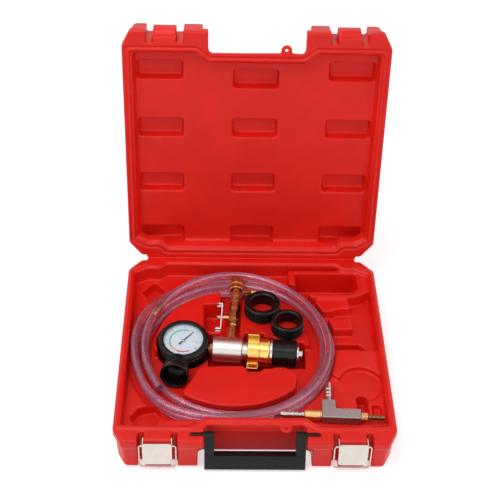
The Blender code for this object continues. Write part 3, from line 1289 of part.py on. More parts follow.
def make_adapters(rubber):
    """Two ribbed rubber rings and a ribbed taper."""
    low = RING_SEAT_HEIGHT + SEAT_GAP
    high = low + RING_HEIGHT
    for name, x, y, radius, bore in (
        ("adapter_ring_large", LARGE_RING_X, LARGE_RING_Y, LARGE_RING_RADIUS, LARGE_RING_BORE),
        ("adapter_ring_small", SMALL_RING_X, SMALL_RING_Y, SMALL_RING_RADIUS, SMALL_RING_BORE),
    ):
        profile = ribbed(RING_HEIGHT, radius, radius, RING_RIBS, RING_RIB_DEPTH)
        profile += [(RING_HEIGHT, bore), (0, bore)]
        add_object(name, turned(profile, 28, ALONG_Z), rubber, None, (x, y, low))
    drop = math.atan2(CUP_MOUTH_RADIUS - CUP_BACK_RADIUS, CUP_LENGTH)
    profile = ribbed(CUP_LENGTH, CUP_MOUTH_RADIUS, CUP_BACK_RADIUS, CUP_RIBS, CUP_RIB_DEPTH)
    profile += [(CUP_LENGTH, CUP_BACK_BORE), (0, CUP_MOUTH_RADIUS - CUP_WALL)]
    cup = add_object("adapter_taper", turned(profile, 28, ALONG_Y), rubber)
    lift = FLOOR_HEIGHT + SEAT_GAP + CUP_MOUTH_RADIUS * math.cos(drop)
    cup.rotation_euler = (-drop, 0, math.radians(CUP_YAW))
    cup.location = (CUP_X, CUP_Y, lift)
    return cup


def lay_radius(lay, angle):
    """Distance from the coil's centre at an angle, between the places of a lay."""
    for (start, near), (end, far) in zip(lay, lay[1:]):
        if angle <= end:
            break
    return near + (far - near) * (angle - start) / (end - start)


def smooth_radius(angle):
    """The lay's distance, averaged over a short stretch so that it has no kink."""
    spread = 360 / HOSE_POINTS_PER_TURN
    around = (lay_radius(HOSE_LAY, place) for place in (angle - spread, angle, angle, angle + spread))
    return sum(around) / 4


def hose_point(angle):
    """Centre of the hose at a winding angle in degrees, from the lower layer up to the upper one."""
    share = (angle - HOSE_CLIMB_START) / (HOSE_CLIMB_END - HOSE_CLIMB_START)
    share = min(max(share, 0), 1)
    rise = share * share * (3 - 2 * share)
    low = COIL_FLOOR + SEAT_GAP + HOSE_DIAMETER / 2
    radius = smooth_radius(angle)
    turn = math.radians(angle)
    return Vector((
        COIL_X + radius * math.cos(turn), COIL_Y + radius * math.sin(turn), low + HOSE_LAYER_RISE * rise))


def hose_route():
    """Points along the coil, its two ends straight for one diameter."""
    begin, finish = HOSE_LAY[0][0], HOSE_LAY[-1][0]
    count = round((finish - begin) / 360 * HOSE_POINTS_PER_TURN)
    points = [hose_point(begin + (finish - begin) * i / count) for i in range(count + 1)]
    first = (points[0] - points[1]).normalized() * HOSE_DIAMETER
    last = (points[-1] - points[-2]).normalized() * HOSE_DIAMETER
    return [points[0] + first] + points + [points[-1] + last]


def least_gap(points, reach):
    """Least air between turns of the hose, from points over a turn's half apart."""
    best = None
    apart = HOSE_POINTS_PER_TURN // 2
    for i, point in enumerate(points):
        for j in range(i + apart, len(points) - 1):
            side = points[j + 1] - points[j]
            share = min(max((point - points[j]).dot(side) / side.length_squared, 0), 1)
            gap = (points[j] + side * share - point).length - reach
            best = gap if best is None else min(best, gap)
    return best


def make_hose(finishes):
    """Clear hose wound in the tray, with a brass joiner inside it and a brass end fitting."""
    points = hose_route()
    print("least gap between hose turns, mm:", round(least_gap(points, HOSE_DIAMETER) * 1000, 2))
    length = sum((b - a).length for a, b in zip(points, points[1:]))
    print("hose length, m:", round(length, 3))
    hose = add_object(
        "hose_coil", tube(points, HOSE_DIAMETER / 2, HOSE_SIDES, Vector((0, 0, 1))), finishes["hose"]
    )
    first = points[0] + (points[0] - points[1]).normalized() * HOSE_BORE_RADIUS
    last = points[-1] + (points[-1] - points[-2]).normalized() * HOSE_BORE_RADIUS
    cut(hose, tube([first] + points[1:-1] + [last], HOSE_BORE_RADIUS, HOSE_BORE_SIDES, Vector((0, 0, 1))))
    start, ahead = points[0], (points[0] - points[1]).normalized()
    turn = ahead.to_track_quat("X", "Z").to_matrix().to_4x4()
    end = FITTING_HEX_LENGTH + SEAT_GAP
    fitting = add_object("hose_fitting", rod(-FITTING_BARB_LENGTH, SEAT_GAP * 2, FITTING_BARB_RADIUS, 8),
                         finishes["brass"])
    join(fitting, turned([
        (SEAT_GAP, 0), (SEAT_GAP, FITTING_HEX_RADIUS), (end, FITTING_HEX_RADIUS), (end, 0)], 6))
    join(fitting, rod(end - SEAT_GAP, end + FITTING_NOSE_LENGTH, FITTING_NOSE_RADIUS))
    cut(fitting, rod(-FITTING_BARB_LENGTH - OVERRUN, end + FITTING_NOSE_LENGTH + OVERRUN, PORT_BORE / 2, 6))
    fitting.data.transform(turn)
    fitting.location = start
    link = int(len(points) * JOINER_SHARE)
    middle = (points[link] + points[link + 1]) / 2
    along = points[link + 1] - points[link]
    joiner = add_object("hose_joiner", turned([
        (-JOINER_LENGTH / 2, JOINER_RADIUS / 2), (-JOINER_LENGTH / 2, JOINER_RADIUS),
        (JOINER_LENGTH / 2, JOINER_RADIUS), (JOINER_LENGTH / 2, JOINER_RADIUS / 2),
    ], 8), finishes["brass"])
    joiner.data.transform(along.to_track_quat("X", "Z").to_matrix().to_4x4())
    joiner.location = middle


def quick_nipple(length, tip_first):
    """Profile of a male quick-connect nipple, its groove near the tip."""
    made = []
    for along_share, radius_share in NIPPLE_PROFILE_SHARES:
        place = length * along_share if tip_first else length * (1 - along_share)
        made.append((place, NIPPLE_RADIUS * radius_share))
    return made


def make_venturi(finishes, venturi):
    """Venturi: aluminium block, air nipple, brass collar, quick nipple, and a barbed outlet."""
    half_deep, half_high = BLOCK_DEPTH / 2, BLOCK_THICKNESS / 2
    outline = [
        (0, -half_deep), (BLOCK_LENGTH, -half_deep), (BLOCK_LENGTH, half_deep), (LEG_LENGTH, half_deep),
        (LEG_LENGTH - BLOCK_BEVEL, half_deep + LEG_REACH), (0, half_deep + LEG_REACH),
    ]
    thin = inset(outline, BLOCK_BEVEL)
    block = add_object("venturi_block", loft([
        (thin, -half_high), (outline, -half_high + BLOCK_BEVEL), (outline, half_high - BLOCK_BEVEL),
        (thin, half_high),
    ]), finishes["cast"], venturi)
    cut(block, rod(-OVERRUN, BLOCK_LENGTH + OVERRUN, PORT_BORE))
    air_x = LEG_LENGTH / 2
    leg_end = half_deep + LEG_REACH
    port = rod(0, leg_end + OVERRUN, AIR_PORT_RADIUS, 8, ALONG_Y)
    port.transform(Matrix.Translation((air_x, 0, 0)))
    cut(block, port)
    low = leg_end + SEAT_GAP
    profile = quick_nipple(AIR_NIPPLE_LENGTH, False)[::-1]
    profile = [(low + place, radius) for place, radius in profile]
    profile += [(low + AIR_NIPPLE_LENGTH, PORT_BORE), (low, PORT_BORE)]
    add_object("air_nipple", turned(profile, 16, ALONG_Y), finishes["steel"], venturi, (air_x, 0, 0))
    collar_low = -SEAT_GAP - COLLAR_LENGTH - COLLAR_NECK_LENGTH
    neck_low = -SEAT_GAP - COLLAR_NECK_LENGTH
    add_object("inlet_collar", turned([
        (collar_low, PORT_BORE), (collar_low, COLLAR_RADIUS), (neck_low, COLLAR_RADIUS),
        (neck_low, COLLAR_NECK_RADIUS),
        (-SEAT_GAP, COLLAR_NECK_RADIUS), (-SEAT_GAP, PORT_BORE),
    ], 24), finishes["brass"], venturi)
    profile = quick_nipple(NIPPLE_LENGTH, True)
    high = collar_low - SEAT_GAP
    profile = [(high - NIPPLE_LENGTH + place, radius) for place, radius in profile]
    profile += [(high, PORT_BORE), (high - NIPPLE_LENGTH, PORT_BORE)]
    add_object("quick_nipple", turned(profile, 16), finishes["steel"], venturi)
    hex_low = BLOCK_LENGTH + SEAT_GAP
    hex_high = hex_low + OUTLET_HEX_LENGTH
    add_object("outlet_nut", turned([
        (hex_low, PORT_BORE), (hex_low, OUTLET_HEX_RADIUS), (hex_high, OUTLET_HEX_RADIUS),
        (hex_high, PORT_BORE),
    ], 6), finishes["brass"], venturi)
    tail_low = hex_high + SEAT_GAP
    profile = []
    pitch = TAIL_LENGTH / TAIL_BARBS
    for i in range(TAIL_BARBS):
        profile += [(tail_low + pitch * i, TAIL_WAIST), (tail_low + pitch * i + SHEET / 4, TAIL_RADIUS)]
    profile += [
        (tail_low + TAIL_LENGTH, TAIL_WAIST), (tail_low + TAIL_LENGTH, PORT_BORE), (tail_low, PORT_BORE)
    ]
    add_object("outlet_barb", turned(profile, 14), finishes["dark_steel"], venturi)


def main():
    """Build the whole kit."""
    for existing in list(bpy.data.objects):
        bpy.data.objects.remove(existing)
    red = material("red polyethylene", (0.72, 0.03, 0.02), 0.42)
    black = material("black plastic", (0.02, 0.02, 0.022), 0.45)
    finishes = {
        "steel": material("zinc plated steel", (0.72, 0.71, 0.69), 0.3, 1.0),
        "dark_steel": material("dark plated steel", (0.16, 0.14, 0.13), 0.4, 1.0),
        "chrome": material("chrome plate", (0.85, 0.85, 0.86), 0.1, 1.0),
        "aluminium": material("turned aluminium", (0.86, 0.86, 0.87), 0.25, 1.0),
        "cast": material("sawn aluminium", (0.72, 0.68, 0.67), 0.45, 1.0),
        "gold": material("gold anodised aluminium", (0.85, 0.55, 0.16), 0.22, 1.0),
        "brass": material("brass", (0.70, 0.46, 0.22), 0.32, 1.0),
        "boot": material("boot rubber", (0.02, 0.02, 0.022), 0.55),
        "rubber": material("black rubber", (0.018, 0.018, 0.019), 0.6),
        "dial": material("white dial", (0.86, 0.88, 0.92), 0.5),
        "needle": material("needle black", (0.02, 0.02, 0.02), 0.4),
        "lens": material("clear lens", (0.95, 0.97, 1.0), 0.05, 0.0, 0.2),
        "hose": material("clear hose", (0.92, 0.80, 0.86), 0.15, 0.0, 0.4),
    }
    make_base(red)
    hinge = frame_empty("lid_hinge", (0, HINGE_Y, BASE_HEIGHT), roll=-LID_OPEN_ANGLE)
    make_lid(red, hinge)
    pivot_y, pivot_z = handle_pivot()
    make_handle(black, frame_empty("handle_pivot", (0, pivot_y, pivot_z), roll=-HANDLE_LEAN))
    for side_name, centre in zip(("left", "right"), LATCH_CENTRES):
        make_latch(side_name, centre, finishes["steel"], finishes["dark_steel"])
    tester = frame_empty("tester_place", (TESTER_X, TESTER_Y, TESTER_Z), TESTER_YAW, TESTER_ROLL)
    make_tester_body(finishes, tester)
    make_gauge(finishes, tester)
    make_valve(finishes, tester)
    make_adapters(finishes["rubber"])
    make_hose(finishes)
    make_venturi(finishes, frame_empty("venturi_place", (VENTURI_X, VENTURI_Y, VENTURI_Z), VENTURI_YAW))
    bpy.context.view_layer.update()


main()
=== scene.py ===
import json
import math

import bmesh
import bpy
from bpy.props import FloatProperty, FloatVectorProperty, IntProperty, PointerProperty
from mathutils import Matrix, Vector


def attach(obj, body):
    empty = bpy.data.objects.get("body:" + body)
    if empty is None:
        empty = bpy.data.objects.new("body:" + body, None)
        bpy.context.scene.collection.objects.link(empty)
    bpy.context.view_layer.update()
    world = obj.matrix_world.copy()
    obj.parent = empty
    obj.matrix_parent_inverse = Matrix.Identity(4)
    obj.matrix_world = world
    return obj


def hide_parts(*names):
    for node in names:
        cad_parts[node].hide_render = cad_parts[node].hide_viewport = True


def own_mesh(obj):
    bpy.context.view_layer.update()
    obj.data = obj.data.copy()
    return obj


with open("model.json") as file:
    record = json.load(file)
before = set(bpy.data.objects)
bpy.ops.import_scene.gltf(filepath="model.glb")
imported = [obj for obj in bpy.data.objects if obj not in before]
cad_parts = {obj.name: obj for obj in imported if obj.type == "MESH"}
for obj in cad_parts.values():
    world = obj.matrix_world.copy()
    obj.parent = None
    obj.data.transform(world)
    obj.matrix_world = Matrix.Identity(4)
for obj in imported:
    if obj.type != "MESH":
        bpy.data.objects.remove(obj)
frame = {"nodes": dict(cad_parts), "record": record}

bl_info = {
    "name": "Coolant vacuum filler kit",
    "version": (1, 0, 0),
    "blender": (4, 5, 0),
    "location": "3D View > Sidebar > Filler Kit",
    "description": "Dresses the coolant vacuum filler kit in its red moulded case",
    "category": "Add Mesh",
}

MM = 0.001


def moved_by(x, y=0.0, z=0.0):
    """A shift in millimetres."""
    return Matrix.Translation((x * MM, y * MM, z * MM))


def turned_by(angle, axis):
    """A turn in degrees about an axis."""
    return Matrix.Rotation(math.radians(angle), 4, axis)


# Case: its shut line, its hinge, and the turn by which the lid stands open in the photograph
BASE_HEIGHT = 0.052
HINGE_Y = 0.174
LID_OPEN_ANGLE = 95.6
LID_TURN = (
    Matrix.Translation((0, HINGE_Y, BASE_HEIGHT)) @ turned_by(-LID_OPEN_ANGLE, "X")
    @ Matrix.Translation((0, -HINGE_Y, -BASE_HEIGHT)))

# Places of the tools, from the same measurements as the solids
ALONG_Y = turned_by(90, "Z")
ALONG_Z = turned_by(-90, "Y")
TESTER_FRAME = moved_by(-34.0, 4.2, 34.0) @ turned_by(-4.5, "Z") @ turned_by(8, "X")
GAUGE_FRAME = TESTER_FRAME @ moved_by(-58.95)
GAUGE_AXIS = GAUGE_FRAME @ ALONG_Z
VALVE_FRAME = TESTER_FRAME @ moved_by(4.0)
VALVE_AXIS = VALVE_FRAME @ ALONG_Y
VENTURI_FRAME = moved_by(84.0, -122.8, 45.0) @ turned_by(-2.5, "Z")
# The taper lies on its side, and drops by 4.4 mm over its 31 mm of length
TAPER_DROP = math.atan2(4.4, 31)
TAPER_AXIS = (
    moved_by(-102.9, -61.0, 31.3 + 18.9 * math.cos(TAPER_DROP)) @ turned_by(-7, "Z")
    @ Matrix.Rotation(-TAPER_DROP, 4, "X") @ ALONG_Y)

# Camera of the photograph: its place, and its turn to the right, tilt up and lean in degrees
CAMERA_PLACE = (-0.0470, -1.1025, 1.1115)
CAMERA_ANGLES = (2.0041, -39.2436, 1.8488)

# Hose: the coil's centre in plan, the floor under it and the gap it keeps, the rise of the upper layer
# and the angles between which it climbs, and the share of its length at which the joiner sits
COIL = (-0.0255, 0.007)
COIL_FLOOR = 0.029
FLOOR_GAP = 0.0003
LAYER_RISE = 0.0107
CLIMB = (825.0, 900.0)
POINTS_PER_TURN = 24
JOINER_SHARE = 0.918
# Its lay, as winding angle in degrees and distance from the coil's centre
HOSE_LAY = (
    (87.0, 0.1115), (180.0, 0.1177), (270.0, 0.1204), (310.0, 0.1215), (360.0, 0.1195), (425.0, 0.1262),
    (445.0, 0.1268), (505.0, 0.1264), (540.0, 0.1285), (565.0, 0.1330), (582.0, 0.1400),
    (596.0, 0.1450), (606.0, 0.1405), (617.0, 0.1342), (640.0, 0.1325), (670.0, 0.1325),
    (720.0, 0.1303), (760.0, 0.1346), (785.0, 0.1372), (805.0, 0.1382), (855.0, 0.1380),
    (885.0, 0.1340), (905.0, 0.1312), (925.0, 0.1345), (943.0, 0.1430), (956.0, 0.1465),
    (966.0, 0.1415), (977.0, 0.1342), (1000.0, 0.1325), (1030.0, 0.1320), (1060.0, 0.1280),
    (1080.0, 0.1262), (1110.0, 0.1262), (1140.0, 0.1310), (1160.0, 0.1375), (1177.0, 0.1395),
    (1195.0, 0.1345), (1215.0, 0.1265), (1235.0, 0.1208), (1255.0, 0.1186), (1275.0, 0.1188),
    (1297.0, 0.1250),
)

# Plan of the cavity's rim in both halves, in millimetres, counter-clockwise from the front left
CAVITY = (
    (-165.5, -146.5), (-79.5, -146.5), (-63.2, -133.2), (63.2, -133.2), (79.5, -146.5), (165.5, -146.5),
    (165.5, 140.5), (148.0, 150.8), (130.0, 150.8), (120.5, 160.0), (-120.5, 160.0), (-130.0, 150.8),
    (-148.0, 150.8), (-165.5, 140.5),
)

# The shut lid, as heights over the shut line: its cavity's floor in the solids and as the photograph
# shows it, and the skin that stays. Pockets deepen again by a share. What lies nearer to the rim than
# these two stays as it is
LID_CAVITY, LID_SHOWN, LID_SKIN = 0.026, 0.0175, 0.0375
POCKET_START, POCKET_GAIN = 0.024, 0.5
POCKETS_X, POCKETS_FRONT, POCKETS_BACK = 0.161, -0.14, 0.161
RIM_DEPTH, RIM_SPARE = 0.001, 0.99
# The lid's handle notch: half its width, its front, wall and back in plan, and the lip by the rim that
# stays upright
NOTCH_HALF = 0.0735
NOTCH_FRONT, NOTCH_WALL, NOTCH_BACK = -0.1485, -0.139, -0.08
NOTCH_LIP = 0.008
# Most triangles of a softened half, and the living hinge's strip: half its length, its radius and its
# shift
MOST_TRIANGLES = 185000
STRIP_HALF, STRIP_RADIUS = 0.1485, 0.0013
STRIP_SHIFT = Vector((0, -0.0002, 0.0002))

# Latches: the pins' places, the bails' place from them, the wire's radius, and a lever's panel with its
# border
LATCH_X, LATCH_PIN_Y, LATCH_PIN_Z = 0.1195, -0.1655, 0.046
BAIL_Y, BAIL_Z = -0.007, -0.003
WIRE_RADIUS = 0.0011
PANEL_LEAST, PANEL_BORDER, PANEL_DEPTH = 0.00008, 0.0024, 0.00045
# Half-width, length and corners of a bail, and how its ends turn in to the lever's ears, in millimetres
BAIL = (22.5, 38.0, 5.0, 2.2, 16.9)

# Turned profiles as pairs of place along the axis and radius, in millimetres
MANIFOLD = (
    (-19.95, 0), (-19.95, 16.0), (-18.95, 17.0), (18.95, 17.0), (19.95, 16.0), (19.95, 12.5),
    (26.55, 12.5), (26.55, 8.1), (16.55, 8.1), (16.55, 0),
)
DRAW_TUBE = ((16.85, 3.5), (16.85, 7.6), (95.05, 7.6), (95.05, 6.3), (100.25, 6.3), (100.25, 3.5))
PRESS_WASHER = ((56.95, 8.1), (56.95, 19.6), (59.95, 19.6), (59.95, 8.1))
PLUG = (
    (60.25, 8.1), (60.25, 17.2), (61.4, 18.1), (76.25, 17.8), (91.1, 18.1), (92.25, 17.2), (92.25, 8.1),
)
# The washer at the plug's end, which stays in its place
END_WASHER = ((92.55, 8.1), (92.55, 13.0), (95.05, 13.0), (95.05, 8.1))
NUT = (
    (26.85, 8.1), (26.85, 19.0), (28.05, 20.2), (42.6, 20.2), (42.9, 19.4), (44.0, 19.4), (44.3, 20.2),
    (54.6, 20.2), (56.65, 18.6), (56.65, 8.1),
)
# The nut's grips: count, turn of the first one, corners of each, the radius in metres under which it is
# narrower, and by what share
GRIPS, GRIP_ANGLE = 6, 38.5
GRIP_LOW, GRIP_HIGH = (26.85, -4.9, 18.0), (42.15, 4.9, 28.5)
GRIP_FOOT, GRIP_NARROW = 0.02, 0.82
BOOT = (
    (-17.0, 31.6), (-15.2, 34.0), (8.4, 34.0), (9.2, 32.0), (10.8, 32.0), (11.6, 34.0), (15.4, 34.0),
    (18.5, 31.0), (18.5, 26.2), (17.2, 26.2), (17.2, 31.0), (-14.0, 31.0), (-14.0, 26.2), (-17.0, 26.2),
)
# Flutes of the boot and of the sleeve: count, depth and least radius in millimetres, and the boot's
# last place
BOOT_FLUTES, BOOT_SINK, BOOT_LEAST, BOOT_LAST = 36, 1.9, 32.5, 8.8
SLEEVE_FLUTES, SLEEVE_SINK, SLEEVE_LEAST = 30, 0.5, 9.1
DIAL = ((12.7, 28.5), (13.6, 28.5), (13.6, 1.1), (12.7, 1.1))
WINDOW = ((15.3, 0), (15.3, 30.5), (16.9, 30.5), (16.9, 0))
DIAL_SCREW = ((13.6, 0), (13.6, 1.3), (13.9, 1.3), (14.1, 0.9), (14.1, 0))
DIAL_SCREWS = ((17.3, -1.8), (17.3, -11.5))
NEEDLE_HUB = ((4.6, 0), (4.6, 0.7), (13.9, 0.7), (13.9, 2.4), (14.7, 2.4), (14.7, 0))
NEEDLE_CAP = ((14.75, 0), (14.75, 1.7), (15.0, 1.3), (15.0, 0))
# The needle's blade: its corners, its point's width as a share of its tail's, and its angle at rest
BLADE_LOW, BLADE_HIGH, BLADE_POINT = (-8.5, -1.6, 14.1), (19.0, 1.6, 14.6), 0.34
NEEDLE_REST_ANGLE = 52.0
# Print of the dial in millimetres and degrees: low and high of the ink, arcs, and marks, every fifth a
# long one
INK_LOW, INK_HIGH = 13.6, 13.68
ARC_RADII = (16.9, 19.2)
DIAL_ARCS = (("green", 71.5, 216.0), ("yellow", 216.0, 247.5), ("red", 247.5, 302.0))
DIAL_START, DIAL_END = -45.0, 225.0
MARKS, MARK_HALF = 30, 0.16
SHORT_MARK, LONG_MARK, INNER_MARK = (19.7, 20.9), (19.7, 21.6), (15.9, 16.6)
# Numerals of both rows: the factor of the mark's number, their size and their radius
NUMERALS = ((1, 2.9, 23.6), (2, 2.2, 12.6))
VALVE_TUBE = (
    (12.3, 2.9), (12.3, 6.0), (16.5, 6.0), (30.0, 5.3), (40.0, 4.9), (41.0, 5.8), (44.0, 5.8),
    (44.0, 2.9),
)
COUPLER = (
    (66.3, 2.9), (66.3, 6.2), (80.6, 6.2), (80.6, 7.7), (83.4, 7.7), (83.4, 6.6), (85.2, 6.6),
    (85.2, 7.7), (87.6, 7.7), (87.6, 6.8), (99.6, 6.8), (99.6, 6.1), (123.3, 6.1), (123.3, 2.9),
)
SLEEVE = (
    (104.1, 6.6), (104.1, 8.6), (105.1, 9.6), (111.0, 9.6), (111.6, 8.8), (113.2, 8.8), (113.8, 9.6),
    (124.7, 9.6), (125.7, 8.6), (125.7, 6.6),
)
COLLAR = (
    (-21.8, 1.8), (-21.8, 6.0), (-20.9, 7.0), (-6.2, 7.0), (-5.7, 6.5), (-4.6, 6.5), (-4.1, 6.9),
    (-2.6, 6.9), (-2.0, 6.2), (-0.3, 6.2), (-0.3, 1.8),
)
JOINER = (
    (-12.0, 1.2), (-12.0, 2.2), (-9.0, 3.0), (-8.8, 2.2), (-6.0, 3.0), (-5.8, 2.2), (-1.5, 2.2),
    (-1.3, 3.0), (1.3, 3.0), (1.5, 2.2), (5.8, 2.2), (6.0, 3.0), (8.8, 2.2), (9.0, 3.0), (12.0, 2.2),
    (12.0, 1.2),
)
# Shares of a nipple's length and radius, from its tip
NIPPLE = (
    (0, 0.78), (0.05, 0.94), (0.36, 0.94), (0.39, 0.74), (0.46, 0.74), (0.49, 1.0), (0.56, 1.0),
    (0.58, 0.80), (0.64, 0.80), (0.66, 1.0), (0.72, 1.0), (0.74, 0.76), (0.88, 0.76), (0.90, 1.0),
    (1.0, 1.0),
)
NIPPLE_RADIUS, NIPPLE_BORE = 4.7, 1.8
# The outlet's barbs: count, start, pitch, and each one's places and radii from its start
BARBS, BARB_START, BARB_PITCH = 4, 57.6, 5.125
BARB = ((0.2, 2.6), (0.5, 3.5), (1.3, 3.5), (5.0, 2.6))

# Lamps: name, place in metres, size in metres and share of the key or fill power
LAMPS = (
    ("key_lamp", (-0.5, -0.25, 1.35), 1.0, 1.0),
    ("right_lamp", (1.1, -0.5, 0.9), 1.2, 1.0),
    ("front_lamp", (-0.2, -1.5, 0.7), 1.2, 0.7),
)
LAMPS_AIM = Vector((0, 0.03, 0.1))


def linear(hex_colour):
    """An sRGB hex value as linear red, green and blue."""
    made = []
    for i in (0, 2, 4):
        value = int(hex_colour[i:i + 2], 16) / 255
        made.append(value / 12.92 if value <= 0.04045 else ((value + 0.055) / 1.055) ** 2.4)
    return tuple(made)


def colour_property(name, description, hex_colour):
    """A colour that a user can change."""
    return FloatVectorProperty(
        name=name, description=description, default=linear(hex_colour), size=3, min=0, max=1, subtype="COLOR")


def length_property(name, description, millimetres, least):
    """A length that a user can change, its default in millimetres and its least value in metres."""
    return FloatProperty(
        name=name, description=description, default=millimetres * MM, min=least, subtype="DISTANCE",
        unit="LENGTH")


class KitCaseSettings(bpy.types.PropertyGroup):
    """Settings of the case and its latches"""
    red: colour_property("Case red", "Colour of the moulded case", "E41C12")
    black: colour_property("Handle black", "Colour of the carry handle", "070708")
    steel: colour_property("Latch steel", "Colour of the plated latches", "D6CFC6")
    grain: length_property("Mould grain", "Size of the grain left by the mould", 0.9, 0.0001)
    voxel: length_property("Edge softness", "Step of the remesh that softens moulded edges", 1.35, 0.001)


class KitHoseSettings(bpy.types.PropertyGroup):
    """Settings of the hose"""
    tint: colour_property("Hose tint", "Tint of the clear vinyl", "FDDAEA")
    diameter: length_property("Outside diameter", "Outside diameter of the hose", 10, 0.004)
    bore: length_property("Bore", "Inside diameter of the hose", 6.6, 0.002)
    sides: IntProperty(name="Sides", description="Faces round the hose", default=20, min=8, max=48)


class KitToolSettings(bpy.types.PropertyGroup):
    """Settings of the tools in the case"""
    aluminium: colour_property("Aluminium", "Colour of the turned manifold", "CECAC6")
    gold: colour_property("Gold anodise", "Colour of the clamp nut", "E4C070")
    brass: colour_property("Brass", "Colour of the valve and coupler", "CC9A62")
    bright_brass: colour_property("Bright brass", "Colour of the collar and nuts", "DDB274")
    rubber: colour_property("Rubber", "Colour of the rubber adapters", "09080A")
    dial: colour_property("Dial white", "Ground colour of the dial", "DCE6F2")
    facets: IntProperty(
        name="Turned facets", description="Faces round a turned piece", default=72, min=16, max=160)


class KitStageSettings(bpy.types.PropertyGroup):
    """Settings of the lights and camera"""
    white: colour_property("Backdrop", "Colour of floor and backdrop", "F4F4F4")
    key: FloatProperty(
        name="Key power", description="Power of the key light", default=9.5, min=0, unit="POWER")
    fill: FloatProperty(
        name="Fill power", description="Power of the fill lights", default=4.0, min=0, unit="POWER")
    world: FloatProperty(
        name="World level", description="Strength of the even light", default=0.42, min=0, max=2)
    lens: FloatProperty(
        name="Lens", description="Focal length of the camera", default=82.8 * MM, min=0.01,
        subtype="DISTANCE_CAMERA")


def settings():
    """The four groups of settings on the scene."""
    scene = bpy.context.scene
    return scene.kit_case, scene.kit_hose, scene.kit_tools, scene.kit_stage


def add(tree, kind, inputs=None, **values):
    """Adds a node with its settings, and links or fills its inputs."""
    made = tree.nodes.new(kind)
    for name, value in values.items():
        setattr(made, name, value)
    for name, value in (inputs or {}).items():
        if isinstance(value, bpy.types.NodeSocket):
            tree.links.new(value, made.inputs[name])
        else:
            made.inputs[name].default_value = value
    return made


def colour_of(value):
    """A colour of the settings by its name, or one from a hex value."""
    for group in settings():
        if hasattr(group, value):
            return tuple(getattr(group, value))
    return linear(value)


class Finish:
    """A material made from its row: colour, roughness, metallic, other sockets, frame and patterns."""

    def __init__(self, name, colour, roughness, metallic, sockets, place, *patterns):
        self.material = bpy.data.materials.new(name)
        self.material.use_nodes = True
        self.tree = self.material.node_tree
        self.shader = self.tree.nodes["Principled BSDF"]
        self.colour = colour_of(colour)
        self.height = None
        self.noises = {}
        values = {"Base Color": (*self.colour, 1), "Roughness": roughness, "Metallic": metallic, **sockets}
        for socket, value in values.items():
            self.shader.inputs[socket].default_value = value
        self.coords = add(self.tree, "ShaderNodeTexCoord").outputs["Object"]
        if place is not None:
            # Coordinates in a tool's own frame, its X along the tool
            self.coords = add(self.tree, "ShaderNodeMapping", {
                "Vector": self.coords, "Location": place.to_translation(), "Rotation": place.to_euler(),
            }, vector_type="TEXTURE").outputs["Vector"]
        uses = {"shade": self.shade, "gloss": self.gloss, "relief": self.relief, "clear": self.clear}
        for use, pattern, *values in patterns:
            uses[use](self.noise(*pattern) if pattern else self.facing(), *values)

    def noise(self, size, detail=3.0, roughness=0.55):
        """Noise with grains of a size in metres, or with repeats per metre along each axis, made once."""
        key = (size, detail, roughness)
        if key not in self.noises:
            size = settings()[0].grain if size == "grain" else size
            vector, scale = self.coords, 1.0
            if isinstance(size, tuple):
                vector = add(
                    self.tree, "ShaderNodeVectorMath", {0: vector, 1: size}, operation="MULTIPLY").outputs[0]
            else:
                scale = 1 / size
            self.noises[key] = add(self.tree, "ShaderNodeTexNoise", {
                "Vector": vector, "Scale": scale, "Detail": detail, "Roughness": roughness}).outputs["Fac"]
        return self.noises[key]

    def facing(self):
        """How far the surface turns from the eye."""
        return add(self.tree, "ShaderNodeLayerWeight", {"Blend": 0.25}).outputs["Fresnel"]

    def ranged(self, value, low, high, start=0.3, end=0.7):
        """A pattern's value spread between two numbers."""
        return add(self.tree, "ShaderNodeMapRange", {
            "Value": value, "From Min": start, "From Max": end, "To Min": low, "To Max": high,
        }).outputs["Result"]

    def shade(self, pattern, other, amount, start=0.35, end=0.65):
        """Lets a pattern carry the colour part of the way to another one, or to a paler one of its own."""
        other = linear(other) if other else tuple(min(c * 1.25 + 0.02, 1) for c in self.colour)
        share = self.ranged(pattern, 0, amount, start, end)
        base = self.shader.inputs["Base Color"]
        mixed = add(self.tree, "ShaderNodeMix", {0: share, 7: (*other, 1)}, data_type="RGBA")
        if base.is_linked:
            self.tree.links.new(base.links[0].from_socket, mixed.inputs[6])
        else:
            mixed.inputs[6].default_value = (*self.colour, 1)
        self.tree.links.new(mixed.outputs[2], base)

    def gloss(self, pattern, low, high):
        """Lets a pattern set the roughness."""
        self.tree.links.new(self.ranged(pattern, low, high), self.shader.inputs["Roughness"])

    def clear(self, pattern, low, high):
        """Lets a pattern set how much hides what is behind."""
        self.tree.links.new(self.ranged(pattern, low, high, 0.0, 1.0), self.shader.inputs["Alpha"])

    def relief(self, pattern, distance, strength):
        """Adds a pattern's height to the surface, in metres."""
        values = {"Height": pattern, "Distance": distance, "Strength": strength}
        if self.height is not None:
            values["Normal"] = self.height
        self.height = add(self.tree, "ShaderNodeBump", values).outputs["Normal"]
        self.tree.links.new(self.height, self.shader.inputs["Normal"])


def ringed(colour, base, place, marks, low, high, depth, *shades, sockets=None):
    """Row of a turned or sawn metal bar: tool marks in its gloss and skin, and shades of other colours."""
    return (colour, base, 1, sockets or {}, place, ("gloss", marks, low, high), ("relief", marks, depth, 0.5),
            *(("shade", *shade) for shade in shades))


def steel_bar(colour, place, low, high):
    """Row of plated turned steel: bright, its rings 0.25 mm apart, a little coarser than the real feed."""
    return ringed(
        colour, low, place, ((4000, 30, 30), 1.0), low, high, 0.000012, ((0.006, 2.0), "9A9590", 0.4))


